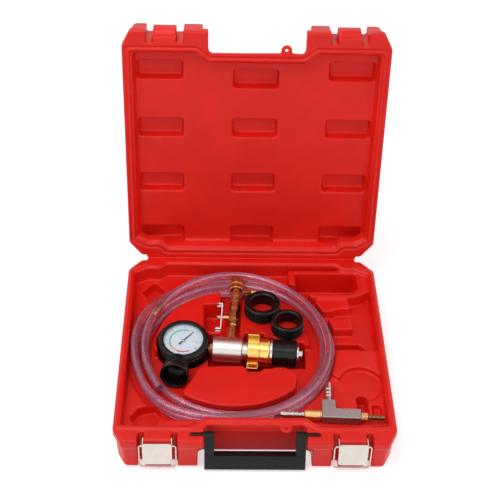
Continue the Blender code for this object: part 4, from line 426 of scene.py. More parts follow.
def brass_bar(colour, dark, place, low=0.17, high=0.34):
    """Row of turned brass that has dulled: tool rings, and tarnish in patches of 2 to 3 mm."""
    return ringed(
        colour, 0.26, place, ((3000, 40, 40), 2.0), low, high, 0.00002, ((0.0025, 4.0), dark, 0.5))


def dial_ink(colour):
    """Row of screen-printed ink: a little uneven in its cover."""
    return (colour, 0.5, 0, {}, None, ("shade", (0.0006, 2.0), None, 0.5))


# Each finish as its colour (a hex value or one of the settings), roughness, metallic, other sockets,
# frame and patterns. A pattern says what it changes, its noise (grain in metres or repeats per metre,
# detail, roughness) and its values: another colour and its share, two roughnesses, or a depth in metres
# and its strength
FINISHES = {
    # Blow-moulded polyethylene: waxy red, with clouds of a deeper red where its wall is thicker, shifts
    # in gloss, a fine mould grain, and slight sinks a few centimetres across
    "moulded_red_polyethylene": (
        "red", 0.42, 0, {"IOR": 1.52, "Specular IOR Level": 0.3}, None,
        ("shade", (0.045, 2.0), "C9150D", 0.35), ("gloss", (0.02, 3.0), 0.36, 0.47),
        ("relief", ("grain", 2.0, 0.6), 0.00006, 0.5), ("relief", (0.03, 1.0), 0.0004, 0.25)),
    # Injection-moulded polypropylene: near black and satin, its spark-eroded grain drawn twice as
    # coarse as the real one
    "moulded_black_polypropylene": (
        "black", 0.38, 0, {"IOR": 1.49, "Specular IOR Level": 0.25}, None,
        ("shade", (0.012, 3.0), "101011", 0.5), ("gloss", (0.006, 3.0), 0.36, 0.5),
        ("relief", (0.0007, 2.0), 0.00005, 0.6)),
    # Zinc-plated sheet: pale grey, with cloudy plating and rolling marks 0.3 mm apart
    "pressed_zinc_steel": (
        "steel", 0.38, 0.8, {}, None,
        ("shade", (0.012, 2.0), "BDB5AB", 0.3), ("gloss", ((60, 3300, 3300), 2.0), 0.34, 0.44),
        ("relief", ((60, 3300, 3300), 2.0), 0.000006, 0.5)),
    # Stamped steel of the lever's tabs: grey, its hatching 0.8 mm apart, drawn a little coarser than
    # the real one
    "stamped_steel": (
        "A49C96", 0.36, 1, {}, VALVE_FRAME,
        ("gloss", ((1250, 1250, 1250), 1.0), 0.28, 0.5),
        ("relief", ((1250, 1250, 1250), 1.0), 0.00008, 0.8),
        ("shade", ((1250, 1250, 1250), 1.0), "5E5852", 0.7)),
    # Plated wire: bright, with faint marks from its die
    "drawn_steel_wire": (
        "steel", 0.28, 1, {}, None,
        ("shade", (0.003, 2.0), "8F8982", 0.5), ("gloss", (0.0015, 2.0), 0.22, 0.36)),
    # Plated turned steel: bright, with tool rings round its axis; the nipples' is darker
    "turned_steel": steel_bar("CFCCC8", TESTER_FRAME, 0.14, 0.26),
    "turned_nipple_steel": steel_bar("B9B5AE", VENTURI_FRAME, 0.1, 0.22),
    # Turned aluminium: bright, with feed rings 0.3 mm apart, twice as coarse as the real ones, handling
    # marks along it and slow clouds in its skin
    "feed_turned_aluminium": ringed(
        "aluminium", 0.32, TESTER_FRAME, ((3300, 25, 25), 2.0), 0.28, 0.38, 0.00001,
        (((90, 700, 700), 3.0), "B5B0AC", 0.5), ((0.003, 4.0), "ABA6A2", 0.3)),
    # Sawn and tumbled bar: grey, with saw lines 0.5 mm apart across it
    "sawn_aluminium_bar": ringed(
        "A89C9D", 0.4, VENTURI_FRAME, ((2000, 70, 70), 3.0), 0.36, 0.52, 0.00003,
        ((0.0025, 3.0), "857A7A", 0.5)),
    # Gold anodised aluminium: a clear dyed skin over turned metal
    "gold_anodised_aluminium": ringed(
        "gold", 0.2, TESTER_FRAME, ((3000, 30, 30), 2.0), 0.14, 0.27, 0.00002,
        ((0.005, 2.0), "C98A30", 0.3), sockets={"Coat Weight": 0.2, "Coat Roughness": 0.1}),
    # Turned brass: warm brown-yellow on the valve, darker on the barb, and pale inside the hose
    "machined_brass": brass_bar("brass", "6B4527", VALVE_AXIS),
    "dulled_brass": brass_bar("8A6844", "4A3320", VENTURI_FRAME, 0.22, 0.36),
    "coil_brass": brass_bar("E6BE62", "B4883C", None),
    # Fresh turned brass of the venturi's collar: pale yellow, with pits in its skin
    "bright_brass": (
        "bright_brass", 0.3, 1, {}, VENTURI_FRAME,
        ("gloss", ((2500, 60, 60), 2.0), 0.24, 0.4),
        ("shade", (0.0011, 2.0, 0.7), "7A5426", 0.75, 0.5, 0.72),
        ("relief", (0.0011, 2.0, 0.7), 0.00008, 0.5)),
    # Moulded rubber: black and satin, with bloom in patches and a soft skin
    "moulded_black_rubber": (
        "rubber", 0.26, 0, {"IOR": 1.52, "Specular IOR Level": 0.25}, None,
        ("shade", (0.008, 3.0), "151317", 0.5), ("gloss", (0.004, 3.0), 0.2, 0.32),
        ("relief", (0.0011, 2.0), 0.00001, 0.4)),
    # Printed tin dial: a cool satin white
    "printed_dial": (
        "dial", 0.42, 0, {}, None,
        ("shade", (0.004, 2.0), "D2DDEA", 0.3), ("gloss", (0.002, 2.0), 0.38, 0.48)),
    # Screen-printed inks, and the needle's enamel
    "green_ink": dial_ink("46B79C"), "yellow_ink": dial_ink("F0A21E"), "red_ink": dial_ink("D23240"),
    "grey_ink": dial_ink("6E7682"), "black_enamel": dial_ink("16181C"),
    # Cast acrylic window: clear and glossy, more mirror-like at a low angle
    "clear_acrylic": ("F4F8FC", 0.04, 0, {"IOR": 1.49}, None, ("clear", None, 0.05, 0.7)),
    # Extruded vinyl hose: cloudy and pinkish, with a wet shine
    "extruded_clear_vinyl": (
        "tint", 0.05, 0, {"IOR": 1.5, "Transmission Weight": 0.94}, None,
        ("shade", (0.012, 3.0), "F0A4C8", 0.5), ("gloss", (0.012, 3.0), 0.03, 0.07),
        ("relief", (0.005, 2.0), 0.0002, 0.2)),
    # Dip-moulded tip of the valve's lever: a glossy soft red skin
    "dipped_red_vinyl": (
        "D21A2C", 0.26, 0, {"IOR": 1.53}, None,
        ("shade", (0.001, 2.0), "A01020", 0.4), ("relief", (0.002, 2.0), 0.00015, 0.4)),
}

BODIES = {node: body for body, nodes in frame["record"]["behaviour"]["bodies"].items() for node in nodes}


def finish(name):
    """A finish by name, made the first time that it is asked for."""
    return bpy.data.materials.get(name) or Finish(name, *FINISHES[name]).material


def paint(node, name):
    """Gives a CAD node that stays its real finish."""
    mesh = frame["nodes"][node].data
    mesh.materials.clear()
    mesh.materials.append(finish(name))


def linked(name, data):
    """An object of some data, in the scene."""
    made = bpy.data.objects.new(name, data)
    bpy.context.scene.collection.objects.link(made)
    return made


def as_mesh(form, name="passing"):
    """A form as a mesh; the form is freed."""
    mesh = bpy.data.meshes.new(name)
    form.to_mesh(mesh)
    form.free()
    return mesh


def as_form(*meshes):
    """Meshes as one form; the meshes are removed."""
    form = bmesh.new()
    for mesh in meshes:
        form.from_mesh(mesh)
        bpy.data.meshes.remove(mesh)
    return form


def node_form(node):
    """A copy of a CAD node's mesh, its loose triangles merged."""
    form = bmesh.new()
    form.from_mesh(frame["nodes"][node].data)
    bmesh.ops.remove_doubles(form, verts=form.verts, dist=1e-6)
    return form


def piece(name, form, finish_name, node=None, body=None, sharp=35.0, even=True):
    """A finished piece in its place, riding on its body and standing for a CAD node."""
    mesh = as_mesh(form, name)
    for face in mesh.polygons:
        face.use_smooth = True
    mesh.set_sharp_from_angle(angle=math.radians(sharp))
    mesh.materials.append(finish(finish_name))
    made = linked(name, mesh)
    if even:
        # Broad faces keep their own normals, so that rounded edges don't shade across them
        made.modifiers.new("even_normals", "WEIGHTED_NORMAL").keep_sharp = True
    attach(made, body or BODIES[node])
    if node:
        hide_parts(node)
    return made


def bevelled(form, width, steps=2, edges=None, **more):
    """Rounds the edges of a form by a width in millimetres."""
    bmesh.ops.bevel(
        form, geom=edges or form.edges[:], offset=width * MM, segments=steps, profile=0.5, affect="EDGES",
        material=-1, **more)
    return form


def softened(profile, radius, closed):
    """A profile whose corners are rounded by short chords."""
    points = [Vector(point) for point in profile]
    made = []
    for i, here in enumerate(points):
        if not closed and i in (0, len(points) - 1):
            made.append(here)
            continue
        before, after = points[i - 1] - here, points[(i + 1) % len(points)] - here
        # Under half of each side, so that the roundings of two corners don't meet
        reach = min(radius, before.length * 0.45, after.length * 0.45)
        start, end = here + before.normalized() * reach, here + after.normalized() * reach
        made += [start, (start + end + here * 2) / 4, end]
    return made


def revolve(profile, place=Matrix.Identity(4), steps=None, soft=0.3, closed=True):
    """A turned form about its own X axis, from pairs of place and radius in millimetres."""
    form = bmesh.new()
    verts = [form.verts.new((x * MM, 0, r * MM)) for x, r in softened(profile, soft, closed)]
    for a, b in zip(verts, verts[1:] + (verts[:1] if closed else [])):
        form.edges.new((a, b))
    steps = steps or settings()[2].facets
    bmesh.ops.spin(
        form, geom=form.verts[:] + form.edges[:], cent=(0, 0, 0), axis=(1, 0, 0), dvec=(0, 0, 0),
        angle=math.tau, steps=steps, use_merge=True, use_duplicate=False)
    bmesh.ops.remove_doubles(form, verts=form.verts, dist=1e-6)
    bmesh.ops.recalc_face_normals(form, faces=form.faces)
    form.transform(place)
    return form


def fluted(form, count, depth, place, test):
    """Presses rounded flutes into a turned form about its own X axis, where a test of a place holds."""
    form.transform(place.inverted())
    for vert in form.verts:
        if test(vert.co):
            angle = math.atan2(vert.co.z, vert.co.y)
            # A wave cut off at top and bottom, which leaves lands and grooves
            share = min(max(0.5 - 0.85 * math.cos(count * angle), 0), 1)
            reach = math.hypot(vert.co.y, vert.co.z)
            scale = 1 - depth * MM * share / reach
            vert.co.y *= scale
            vert.co.z *= scale
    form.transform(place)
    return form


def block(low, high, soft=0.0):
    """A box between two corners in millimetres, its edges rounded."""
    form = bmesh.new()
    size = [(b - a) * MM for a, b in zip(low, high)]
    middle = [(a + b) / 2 * MM for a, b in zip(low, high)]
    bmesh.ops.create_cube(form, size=1.0, matrix=Matrix.Translation(middle) @ Matrix.Diagonal((*size, 1)))
    return bevelled(form, soft) if soft else form


def softened_copy(node, width, angle=30.0, steps=2):
    """A copy of a CAD node, merged and with its sharp edges rounded by width in millimetres."""
    form = node_form(node)
    bmesh.ops.dissolve_limit(form, angle_limit=math.radians(1), verts=form.verts, edges=form.edges)
    sharp = [e for e in form.edges if len(e.link_faces) == 2 and e.calc_face_angle() > math.radians(angle)]
    bevelled(form, width, steps, sharp, clamp_overlap=True)
    bmesh.ops.triangulate(form, faces=[f for f in form.faces if len(f.verts) > 4])
    return form


def hexagon(start, end, radius, place):
    """A hexagon bar about its own X axis, in millimetres, its edges softened."""
    form = bmesh.new()
    bmesh.ops.create_cone(
        form, cap_ends=True, segments=6, radius1=radius * MM, radius2=radius * MM, depth=(end - start) * MM,
        matrix=moved_by((start + end) / 2) @ turned_by(90, "Y"))
    bevelled(form, 0.5)
    form.transform(place)
    return form


def merged(forms, place):
    """Several forms as one, in its place."""
    whole = as_form(*(as_mesh(form) for form in forms))
    whole.transform(place)
    return whole


def evaluated(mesh, name, *modifiers):
    """A mesh or text as a mesh, after a row of modifiers, each as its kind and settings."""
    passing = linked(name, mesh)
    for kind, values in modifiers:
        modifier = passing.modifiers.new(kind.lower(), kind)
        for key, value in values.items():
            setattr(modifier, key, value)
    made = bpy.data.meshes.new_from_object(passing.evaluated_get(bpy.context.evaluated_depsgraph_get()))
    bpy.data.objects.remove(passing)
    return made


def united(first, second):
    """One closed form of two that overlap."""
    mesh, tool = as_mesh(first), linked("united_tool", as_mesh(second))
    joined = evaluated(mesh, "united", ("BOOLEAN", {"operation": "UNION", "solver": "EXACT", "object": tool}))
    # An object goes with its mesh
    for used in (mesh, tool.data):
        bpy.data.meshes.remove(used)
    return as_form(joined)


def lay_radius(angle):
    """Distance of the hose from the coil's centre at an angle, between the places of its lay."""
    for (start, near), (end, far) in zip(HOSE_LAY, HOSE_LAY[1:]):
        if angle <= end:
            break
    return near + (far - near) * (angle - start) / (end - start)


def hose_point(angle):
    """Centre of the hose at a winding angle, from the lower layer up to the upper one."""
    share = min(max((angle - CLIMB[0]) / (CLIMB[1] - CLIMB[0]), 0), 1)
    rise = share * share * (3 - 2 * share)
    spread = 360 / POINTS_PER_TURN
    radius = sum(lay_radius(place) for place in (angle - spread, angle, angle, angle + spread)) / 4
    turn = math.radians(angle)
    low = COIL_FLOOR + FLOOR_GAP + settings()[1].diameter / 2
    return Vector((
        COIL[0] + radius * math.cos(turn), COIL[1] + radius * math.sin(turn), low + LAYER_RISE * rise))


def hose_route():
    """The coil's points, its two ends straight for one diameter, and the same line four times as fine."""
    begin, end = HOSE_LAY[0][0], HOSE_LAY[-1][0]
    count = round((end - begin) / 360 * POINTS_PER_TURN)
    points = [hose_point(begin + (end - begin) * i / count) for i in range(count + 1)]
    diameter = settings()[1].diameter
    points.insert(0, points[0] + (points[0] - points[1]).normalized() * diameter)
    points.append(points[-1] + (points[-1] - points[-2]).normalized() * diameter)
    fine = []
    last = len(points) - 1
    for i in range(last):
        a, b, c, d = (points[min(max(k, 0), last)] for k in (i - 1, i, i + 1, i + 2))
        for step in range(4):
            t = step / 4
            fine.append((b * 2 + (c - a) * t + (a * 2 - b * 5 + c * 4 - d) * t ** 2
                         + (b * 3 - a - c * 3 + d) * t ** 3) / 2)
    return points, fine + [points[-1]]


def swept(route, radii, sides):
    """Tubes of several radii along one route, each a row of bridged circles, joined at both ends."""
    form = bmesh.new()
    last = len(route) - 1
    ends = []
    for radius in radii:
        before = None
        for i, point in enumerate(route):
            ahead = (route[min(i + 1, last)] - route[max(i - 1, 0)]).normalized()
            side = ahead.cross(Vector((0, 0, 1))).normalized()
            turn = Matrix((side, side.cross(ahead), ahead)).transposed().to_4x4()
            made = bmesh.ops.create_circle(
                form, cap_ends=False, segments=sides, radius=radius, matrix=Matrix.Translation(point) @ turn)
            loop = list({edge for vert in made["verts"] for edge in vert.link_edges})
            if before:
                bmesh.ops.bridge_loops(form, edges=before + loop)
            if i in (0, last):
                ends.append(made["verts"])
            before = [edge for edge in loop if all(v in made["verts"] for v in edge.verts)]
    if len(radii) == 2:
        for outer, inner in ((ends[0], ends[2]), (ends[1], ends[3])):
            rims = [e for ring in (outer, inner) for e in {e for v in ring for e in v.link_edges}
                    if all(v in ring for v in e.verts)]
            bmesh.ops.bridge_loops(form, edges=rims)
    else:
        bmesh.ops.holes_fill(form, edges=[e for e in form.edges if e.is_boundary], sides=0)
    bmesh.ops.recalc_face_normals(form, faces=form.faces)
    return form


class KIT_OT_camera(bpy.types.Operator):
    """Sets the camera where the photograph was taken from"""
    bl_idname = "kit.camera"
    bl_label = "Camera"

    def execute(self, context):
        stage = settings()[3]
        data = bpy.data.cameras.new("photo_camera")
        data.sensor_width = 36
        data.lens = stage.lens / MM
        data.clip_start, data.clip_end = 0.05, 50
        camera = linked("photo_camera", data)
        turn, tilt, lean = CAMERA_ANGLES
        camera.matrix_world = (
            Matrix.Translation(CAMERA_PLACE) @ turned_by(-turn, "Z") @ turned_by(90 + tilt, "X")
            @ turned_by(lean, "Z"))
        context.scene.camera = camera
        return {"FINISHED"}


class KIT_OT_hose(bpy.types.Operator):
    """Lays the clear hose in its coil, with the joiner inside it and the fitting on its end"""
    bl_idname = "kit.hose"
    bl_label = "Clear hose"

    def execute(self, context):
        hose = settings()[1]
        points, fine = hose_route()
        form = swept(fine, (hose.diameter / 2, hose.bore / 2), hose.sides)
        made = piece("hose_vinyl", form, "extruded_clear_vinyl", "hose_coil", sharp=60, even=False)
        link = int(len(points) * JOINER_SHARE)
        along = (points[link + 1] - points[link]).to_track_quat("X", "Z").to_matrix().to_4x4()
        joiner = piece(
            "hose_joiner_barbed",
            revolve(JOINER, Matrix.Translation((points[link] + points[link + 1]) / 2) @ along, 32, 0.2),
            "coil_brass", "hose_joiner")
        fitting = piece("hose_end_fitting", softened_copy("hose_fitting", 0.35), "coil_brass", "hose_fitting")
        return {"FINISHED"}


def in_cavity(x, y):
    """Whether a place in plan lies inside the cavity's rim."""
    inside = False
    for (ax, ay), (bx, by) in zip(CAVITY, CAVITY[1:] + CAVITY[:1]):
        if (ay > y) != (by > y) and x < ax + (bx - ax) * (y - ay) / (by - ay):
            inside = not inside
    return inside


def shallow(form):
    """Brings the floor of the shut lid's cavity nearer to its rim, its walls in proportion."""
    for vert in form.verts:
        x, y, z = vert.co
        depth = z - BASE_HEIGHT
        in_pocket = depth > POCKET_START and abs(x) < POCKETS_X and POCKETS_FRONT < y < POCKETS_BACK
        in_rim = in_cavity(x / MM * RIM_SPARE, y / MM * RIM_SPARE)
        if RIM_DEPTH < depth < LID_SKIN and (in_pocket or in_rim):
            vert.co.z -= (LID_CAVITY - LID_SHOWN) * min(depth / LID_CAVITY, 1)
            vert.co.z += POCKET_GAIN * max(depth - LID_CAVITY, 0)


def sloped_notch(form):
    """Leans the wall of the shut lid's handle notch back, away from the rim."""
    for vert in form.verts:
        x, y, z = vert.co
        depth = z - BASE_HEIGHT
        if abs(x) < NOTCH_HALF and NOTCH_FRONT < y < NOTCH_BACK and depth > NOTCH_LIP:
            if depth > LID_SKIN or not in_cavity(x / MM, y / MM):
                share = min((NOTCH_BACK - y) / (NOTCH_BACK - NOTCH_WALL), 1)
                vert.co.y += (depth - NOTCH_LIP) * share


def moulded_half(name, node, turn):
    """A case half whose sharp moulded edges are softened, worked on in its shut place."""
    form = node_form(node)
    form.transform(turn.inverted())
    if node == "case_lid":
        sloped_notch(form)
        shallow(form)
    mesh = as_mesh(form)
    soft = evaluated(
        mesh, name + "_soft",
        ("REMESH", {"mode": "VOXEL", "voxel_size": settings()[0].voxel, "adaptivity": 0.0}),
        ("SMOOTH", {"factor": 0.5, "iterations": 3}))
    share = min(1.0, MOST_TRIANGLES / sum(len(face.vertices) - 2 for face in soft.polygons))
    form = as_form(evaluated(soft, name + "_thin", ("DECIMATE", {"ratio": share})))
    for used in (mesh, soft):
        bpy.data.meshes.remove(used)
    form.transform(turn)
    return piece(name, form, "moulded_red_polyethylene", node, sharp=50, even=False)


class KIT_OT_case(bpy.types.Operator):
    """Softens the two moulded halves and lays the living hinge between them"""
    bl_idname = "kit.case"
    bl_label = "Moulded case"

    def execute(self, context):
        moulded_half("case_base_moulded", "case_base", Matrix.Identity(4))
        moulded_half("case_lid_moulded", "case_lid", LID_TURN)
        ends = [Vector((side * STRIP_HALF, HINGE_Y, BASE_HEIGHT)) + STRIP_SHIFT for side in (-1, 1)]
        piece("living_hinge_strip", swept(ends, (STRIP_RADIUS,), 12), "moulded_red_polyethylene",
              body=BODIES["case_base"], even=False)
        return {"FINISHED"}


class KIT_OT_handle(bpy.types.Operator):
    """Rounds the carry handle"""
    bl_idname = "kit.handle"
    bl_label = "Carry handle"

    def execute(self, context):
        piece("carry_handle_grip", softened_copy("carry_handle", 0.9, 40.0, 3), "moulded_black_polypropylene",
              "carry_handle")
        return {"FINISHED"}


class KIT_OT_latches(bpy.types.Operator):
    """Dresses the two draw latches"""
    bl_idname = "kit.latches"
    bl_label = "Draw latches"

    def execute(self, context):
        for side, centre in (("left", -LATCH_X), ("right", LATCH_X)):
            paint("latch_pin_" + side, "drawn_steel_wire")
            lever = softened_copy("latch_lever_" + side, 0.3)
            front = [f for f in lever.faces if f.normal.y < -0.95 and f.calc_area() > PANEL_LEAST]
            bmesh.ops.inset_region(
                lever, faces=front, thickness=PANEL_BORDER, depth=-PANEL_DEPTH, use_even_offset=True)
            piece("lever_" + side, lever, "pressed_zinc_steel", "latch_lever_" + side)
            place = Vector((centre, LATCH_PIN_Y + BAIL_Y, LATCH_PIN_Z + BAIL_Z))
            wire = swept([place + point for point in bail_route()], (WIRE_RADIUS,), 16)
            piece("bail_" + side, wire, "drawn_steel_wire", "latch_bail_" + side, sharp=60)
        return {"FINISHED"}


def bail_route():
    """Points of a bail's wire from one end to the other, its right half mirrored to the left."""
    half, length, corner, turn_in, inner = (value * MM for value in BAIL)
    right = [(inner, 0), (half - turn_in, 0)]
    for i in range(1, 5):
        angle = math.radians(90 - 90 * i / 4)
        right.append((half - turn_in + turn_in * math.cos(angle), -turn_in + turn_in * math.sin(angle)))
    for i in range(7):
        angle = math.radians(90 * i / 6)
        right.append((half - corner + corner * math.cos(angle), -length + corner - corner * math.sin(angle)))
    route = [Vector((x, 0, z)) for x, z in right]
    return route + [Vector((-point.x, 0, point.z)) for point in reversed(route)]


def dial_arc(inner, outer, start, end, low, high):
    """A printed arc of a ring, between two radii in millimetres and two angles in degrees."""
    form = bmesh.new()
    bmesh.ops.create_grid(
        form, x_segments=1, y_segments=1, size=0.5,
        matrix=moved_by((inner + outer) / 2, 0, (low + high) / 2) @ turned_by(90, "X")
        @ Matrix.Diagonal(((outer - inner) * MM, (high - low) * MM, 1, 1)))
    form.transform(turned_by(start, "Z"))
    bmesh.ops.spin(
        form, geom=form.faces[:], cent=(0, 0, 0), axis=(0, 0, 1), dvec=(0, 0, 0),
        angle=math.radians(end - start), steps=max(3, round((end - start) / 4)), use_merge=False,
        use_duplicate=False)
    bmesh.ops.recalc_face_normals(form, faces=form.faces)
    return form


def numeral(text, size, place):
    """A flat numeral as a closed form, its height in millimetres."""
    curve = bpy.data.curves.new("numeral", "FONT")
    curve.body = text
    curve.size = size * MM
    curve.extrude = 0.04 * MM
    curve.align_x, curve.align_y = "CENTER", "CENTER"
    curve.resolution_u = 3
    form = as_form(evaluated(curve, "numeral"))
    bmesh.ops.remove_doubles(form, verts=form.verts, dist=1e-7)
    form.transform(place)
    return form


def on_dial(radius, angle, height):
    """Place on the dial at a radius in millimetres and an angle, upright."""
    turn = math.radians(angle)
    return moved_by(radius * math.cos(turn), radius * math.sin(turn), height)


class KIT_OT_gauge(bpy.types.Operator):
    """Makes the vacuum gauge: ribbed boot, printed dial, needle and window"""
    bl_idname = "kit.gauge"
    bl_label = "Vacuum gauge"

    def execute(self, context):
        boot = revolve(BOOT, GAUGE_AXIS, 240, 0.9)
        fluted(boot, BOOT_FLUTES, BOOT_SINK, GAUGE_AXIS,
               lambda co: math.hypot(co.y, co.z) > BOOT_LEAST * MM and co.x < BOOT_LAST * MM)
        piece("gauge_boot_ribbed", boot, "moulded_black_rubber", "gauge_boot", sharp=50, even=False)
        paint("gauge_case", "turned_steel")
        paint("gauge_movement", "machined_brass")
        paint("bourdon_tube", "machined_brass")
        plate = revolve(DIAL, GAUGE_AXIS, 96, 0.1)
        piece("gauge_dial_plate", plate, "printed_dial", "gauge_dial")
        window = revolve(WINDOW, GAUGE_AXIS, 96, 0.4, False)
        piece("gauge_window", window, "clear_acrylic", "gauge_lens")
        for name, start, end in DIAL_ARCS:
            arc = dial_arc(*ARC_RADII, start, end, INK_LOW, INK_HIGH)
            arc.transform(GAUGE_FRAME)
            piece("dial_arc_" + name, arc, name + "_ink", body="tester")
        self.scale()
        screws = [revolve(DIAL_SCREW, moved_by(x, y) @ ALONG_Z, 24, 0.1, False) for x, y in DIAL_SCREWS]
        piece("dial_screws", merged(screws, GAUGE_FRAME), "coil_brass", body="tester")
        self.needle()
        piece("gauge_hex_stem", softened_copy("gauge_stem", 0.3), "machined_brass", "gauge_stem")
        return {"FINISHED"}

    @staticmethod
    def scale():
        """Prints the marks and numerals."""
        marks = []
        for i in range(MARKS + 1):
            angle = DIAL_END - (DIAL_END - DIAL_START) * i / MARKS
            fifth = i % 5 == 0
            for near, far in (LONG_MARK, INNER_MARK) if fifth else (SHORT_MARK,):
                mark = block((near, -MARK_HALF, INK_LOW), (far, MARK_HALF, INK_HIGH))
                mark.transform(turned_by(angle, "Z"))
                marks.append(mark)
            for factor, size, radius in NUMERALS if fifth else ():
                place = on_dial(radius, angle, (INK_LOW + INK_HIGH) / 2)
                marks.append(numeral(str(i * factor), size, place))
        piece("dial_scale", merged(marks, GAUGE_FRAME), "grey_ink", body="tester")

    @staticmethod
    def needle():
        """Makes the needle with its hub, and the cap over it."""
        place = GAUGE_FRAME @ turned_by(NEEDLE_REST_ANGLE, "Z")
        blade = block(BLADE_LOW, BLADE_HIGH)
        for vert in blade.verts:
            if vert.co.x > 0:
                vert.co.y *= BLADE_POINT
        bevelled(blade, 0.1, clamp_overlap=True)
        blade = united(blade, revolve(NEEDLE_HUB, ALONG_Z, 32, 0.15, False))
        blade.transform(place)
        piece("needle_blade", blade, "black_enamel", "gauge_needle")
        cap = revolve(NEEDLE_CAP, place @ ALONG_Z, 32, 0.15, False)
        piece("needle_cap", cap, "turned_steel", body="needle")


class KIT_OT_manifold(bpy.types.Operator):
    """Makes the turned manifold, the tube behind it, the washers and the rubber plug"""
    bl_idname = "kit.manifold"
    bl_label = "Manifold and plug"

    def execute(self, context):
        for name, profile, kind, node, soft in (
            ("manifold_turned", MANIFOLD, "feed_turned_aluminium", "manifold_body", 0.35),
            ("draw_tube_turned", DRAW_TUBE, "turned_steel", "draw_tube", 0.5),
            ("press_washer_turned", PRESS_WASHER, "turned_steel", "press_washer", 0.5),
            ("rubber_plug_moulded", PLUG, "moulded_black_rubber", "rubber_plug", 0.9),
            ("end_washer_turned", END_WASHER, "turned_steel", "end_washer", 0.6),
        ):
            closed = profile[0][1] > 0 or profile[-1][1] > 0
            made = piece(name, revolve(profile, TESTER_FRAME, soft=soft, closed=closed), kind, node)
            if node == "rubber_plug":
                # The plug shortens as the washer presses on it
                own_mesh(made)
        return {"FINISHED"}


class KIT_OT_clamp_nut(bpy.types.Operator):
    """Makes the gold clamp nut with its six grips"""
    bl_idname = "kit.clamp_nut"
    bl_label = "Clamp nut"

    def execute(self, context):
        turned = revolve(NUT, TESTER_FRAME, 96, 0.35)
        piece("clamp_nut_turned", turned, "gold_anodised_aluminium", "clamp_nut")
        grips = []
        for i in range(GRIPS):
            grip = block(GRIP_LOW, GRIP_HIGH)
            for vert in grip.verts:
                if vert.co.z < GRIP_FOOT:
                    vert.co.y *= GRIP_NARROW
            bevelled(grip, 0.9, 3)
            grip.transform(turned_by(GRIP_ANGLE - i * 360 / GRIPS, "X"))
            grips.append(grip)
        piece("clamp_nut_grips", merged(grips, TESTER_FRAME), "gold_anodised_aluminium", "clamp_nut")
        return {"FINISHED"}


class KIT_OT_valve(bpy.types.Operator):
    """Makes the brass valve, its lever and the quick coupler"""
    bl_idname = "kit.valve"
    bl_label = "Valve and coupler"

    def execute(self, context):
        for name, profile, node, soft in (
            ("valve_tube_turned", VALVE_TUBE, "valve_tube", 0.3),
            ("coupler_turned", COUPLER, "coupler_body", 0.35),
        ):
            piece(name, revolve(profile, VALVE_AXIS, soft=soft), "machined_brass", node)
        for name, start, end, radius in (("near", 68.2, 78.6, 7.6), ("far", 89.4, 99.2, 8.4)):
            bar = hexagon(start, end, radius, VALVE_AXIS)
            piece("coupler_hex_" + name, bar, "machined_brass", "coupler_body")
        sleeve = revolve(SLEEVE, VALVE_AXIS, 180, 0.4)
        fluted(sleeve, SLEEVE_FLUTES, SLEEVE_SINK, VALVE_AXIS,
               lambda co: math.hypot(co.y, co.z) > SLEEVE_LEAST * MM)
        piece("coupler_sleeve_ribbed", sleeve, "machined_brass", "coupler_sleeve")
        piece("valve_body_machined", softened_copy("valve_body", 0.3), "machined_brass", "valve_body")
        piece("valve_lever_pressed", softened_copy("valve_lever", 0.2), "pressed_zinc_steel", "valve_lever")
        tabs = []
        for y, z in ((37.4, -4.6), (73.6, 4.6)):
            tab = block((-23.9, -3.1, -0.5), (-16.4, 3.1, 0.5), 0.3)
            tab.transform(moved_by(0, y, z) @ turned_by(28, "X"))
            tabs.append(tab)
        piece("valve_lever_tabs", merged(tabs, VALVE_FRAME), "stamped_steel", "valve_lever")
        piece("lever_nut_hex", softened_copy("lever_nut", 0.3), "turned_steel", "lever_nut")
        paint("valve_ball", "turned_steel")
        tip = block((-24.3, 17.7, -4.2), (-21.4, 20.1, 4.2), 0.6)
        tip.transform(VALVE_FRAME @ moved_by(0, 55.5) @ turned_by(14, "X"))
        piece("valve_lever_tip", tip, "dipped_red_vinyl", body="valve_handle")
        return {"FINISHED"}


# The rubber rings: name, place in plan, outside radius and bore, in millimetres
RINGS = (("large", 13.7, 74.5, 25.0, 16.5), ("small", 46.9, 39.6, 22.2, 15.6))
# A rib within its pitch: places as shares of it, and whether they lie in the groove
RIB = ((0.0, 1), (0.52, 1), (0.62, 0), (0.92, 0))


def ribs(start, end, first, last, count, depth):
    """Rounded ribs along a sleeve, from place and radius at its start to those at its end."""
    made = []
    pitch = (end - start) / count
    for i in range(count):
        for share, sunk in RIB:
            place = start + pitch * (i + share)
            radius = first + (last - first) * (place - start) / (end - start)
            made.append((place, radius - depth * sunk))
    return made


class KIT_OT_adapters(bpy.types.Operator):
    """Makes the two ribbed rubber rings and the ribbed taper"""
    bl_idname = "kit.adapters"
    bl_label = "Rubber adapters"

    def execute(self, context):
        for name, x, y, radius, bore in RINGS:
            profile = [(0, bore + 0.9), (0, radius - 2.4), (0.6, radius - 1.2)]
            profile += ribs(1.0, 15.4, radius, radius, 5, 2.2)
            profile += [(15.6, radius - 2.2), (16.2, radius - 0.2), (17.6, radius), (19.0, radius - 1.6),
                        (19.0, bore + 1.6), (17.6, bore), (1.4, bore)]
            ring = revolve(profile, moved_by(x, y, 38.3) @ ALONG_Z, 96, 0.25)
            piece("ring_" + name + "_ribbed", ring, "moulded_black_rubber", "adapter_ring_" + name, sharp=60,
                  even=False)
        profile = [(0, 16.3), (0, 18.1), (0.9, 18.9), (8.2, 18.6), (9.2, 17.2)]
        profile += ribs(10.2, 28.6, 17.8, 15.2, 5, 2.3)
        profile += [(29.0, 13.7), (31.0, 13.7), (31.0, 10.5), (28.6, 10.5), (27.6, 12.0)]
        taper = revolve(profile, TAPER_AXIS, 96, 0.5)
        piece("taper_ribbed", taper, "moulded_black_rubber", "adapter_taper", sharp=60, even=False)
        return {"FINISHED"}


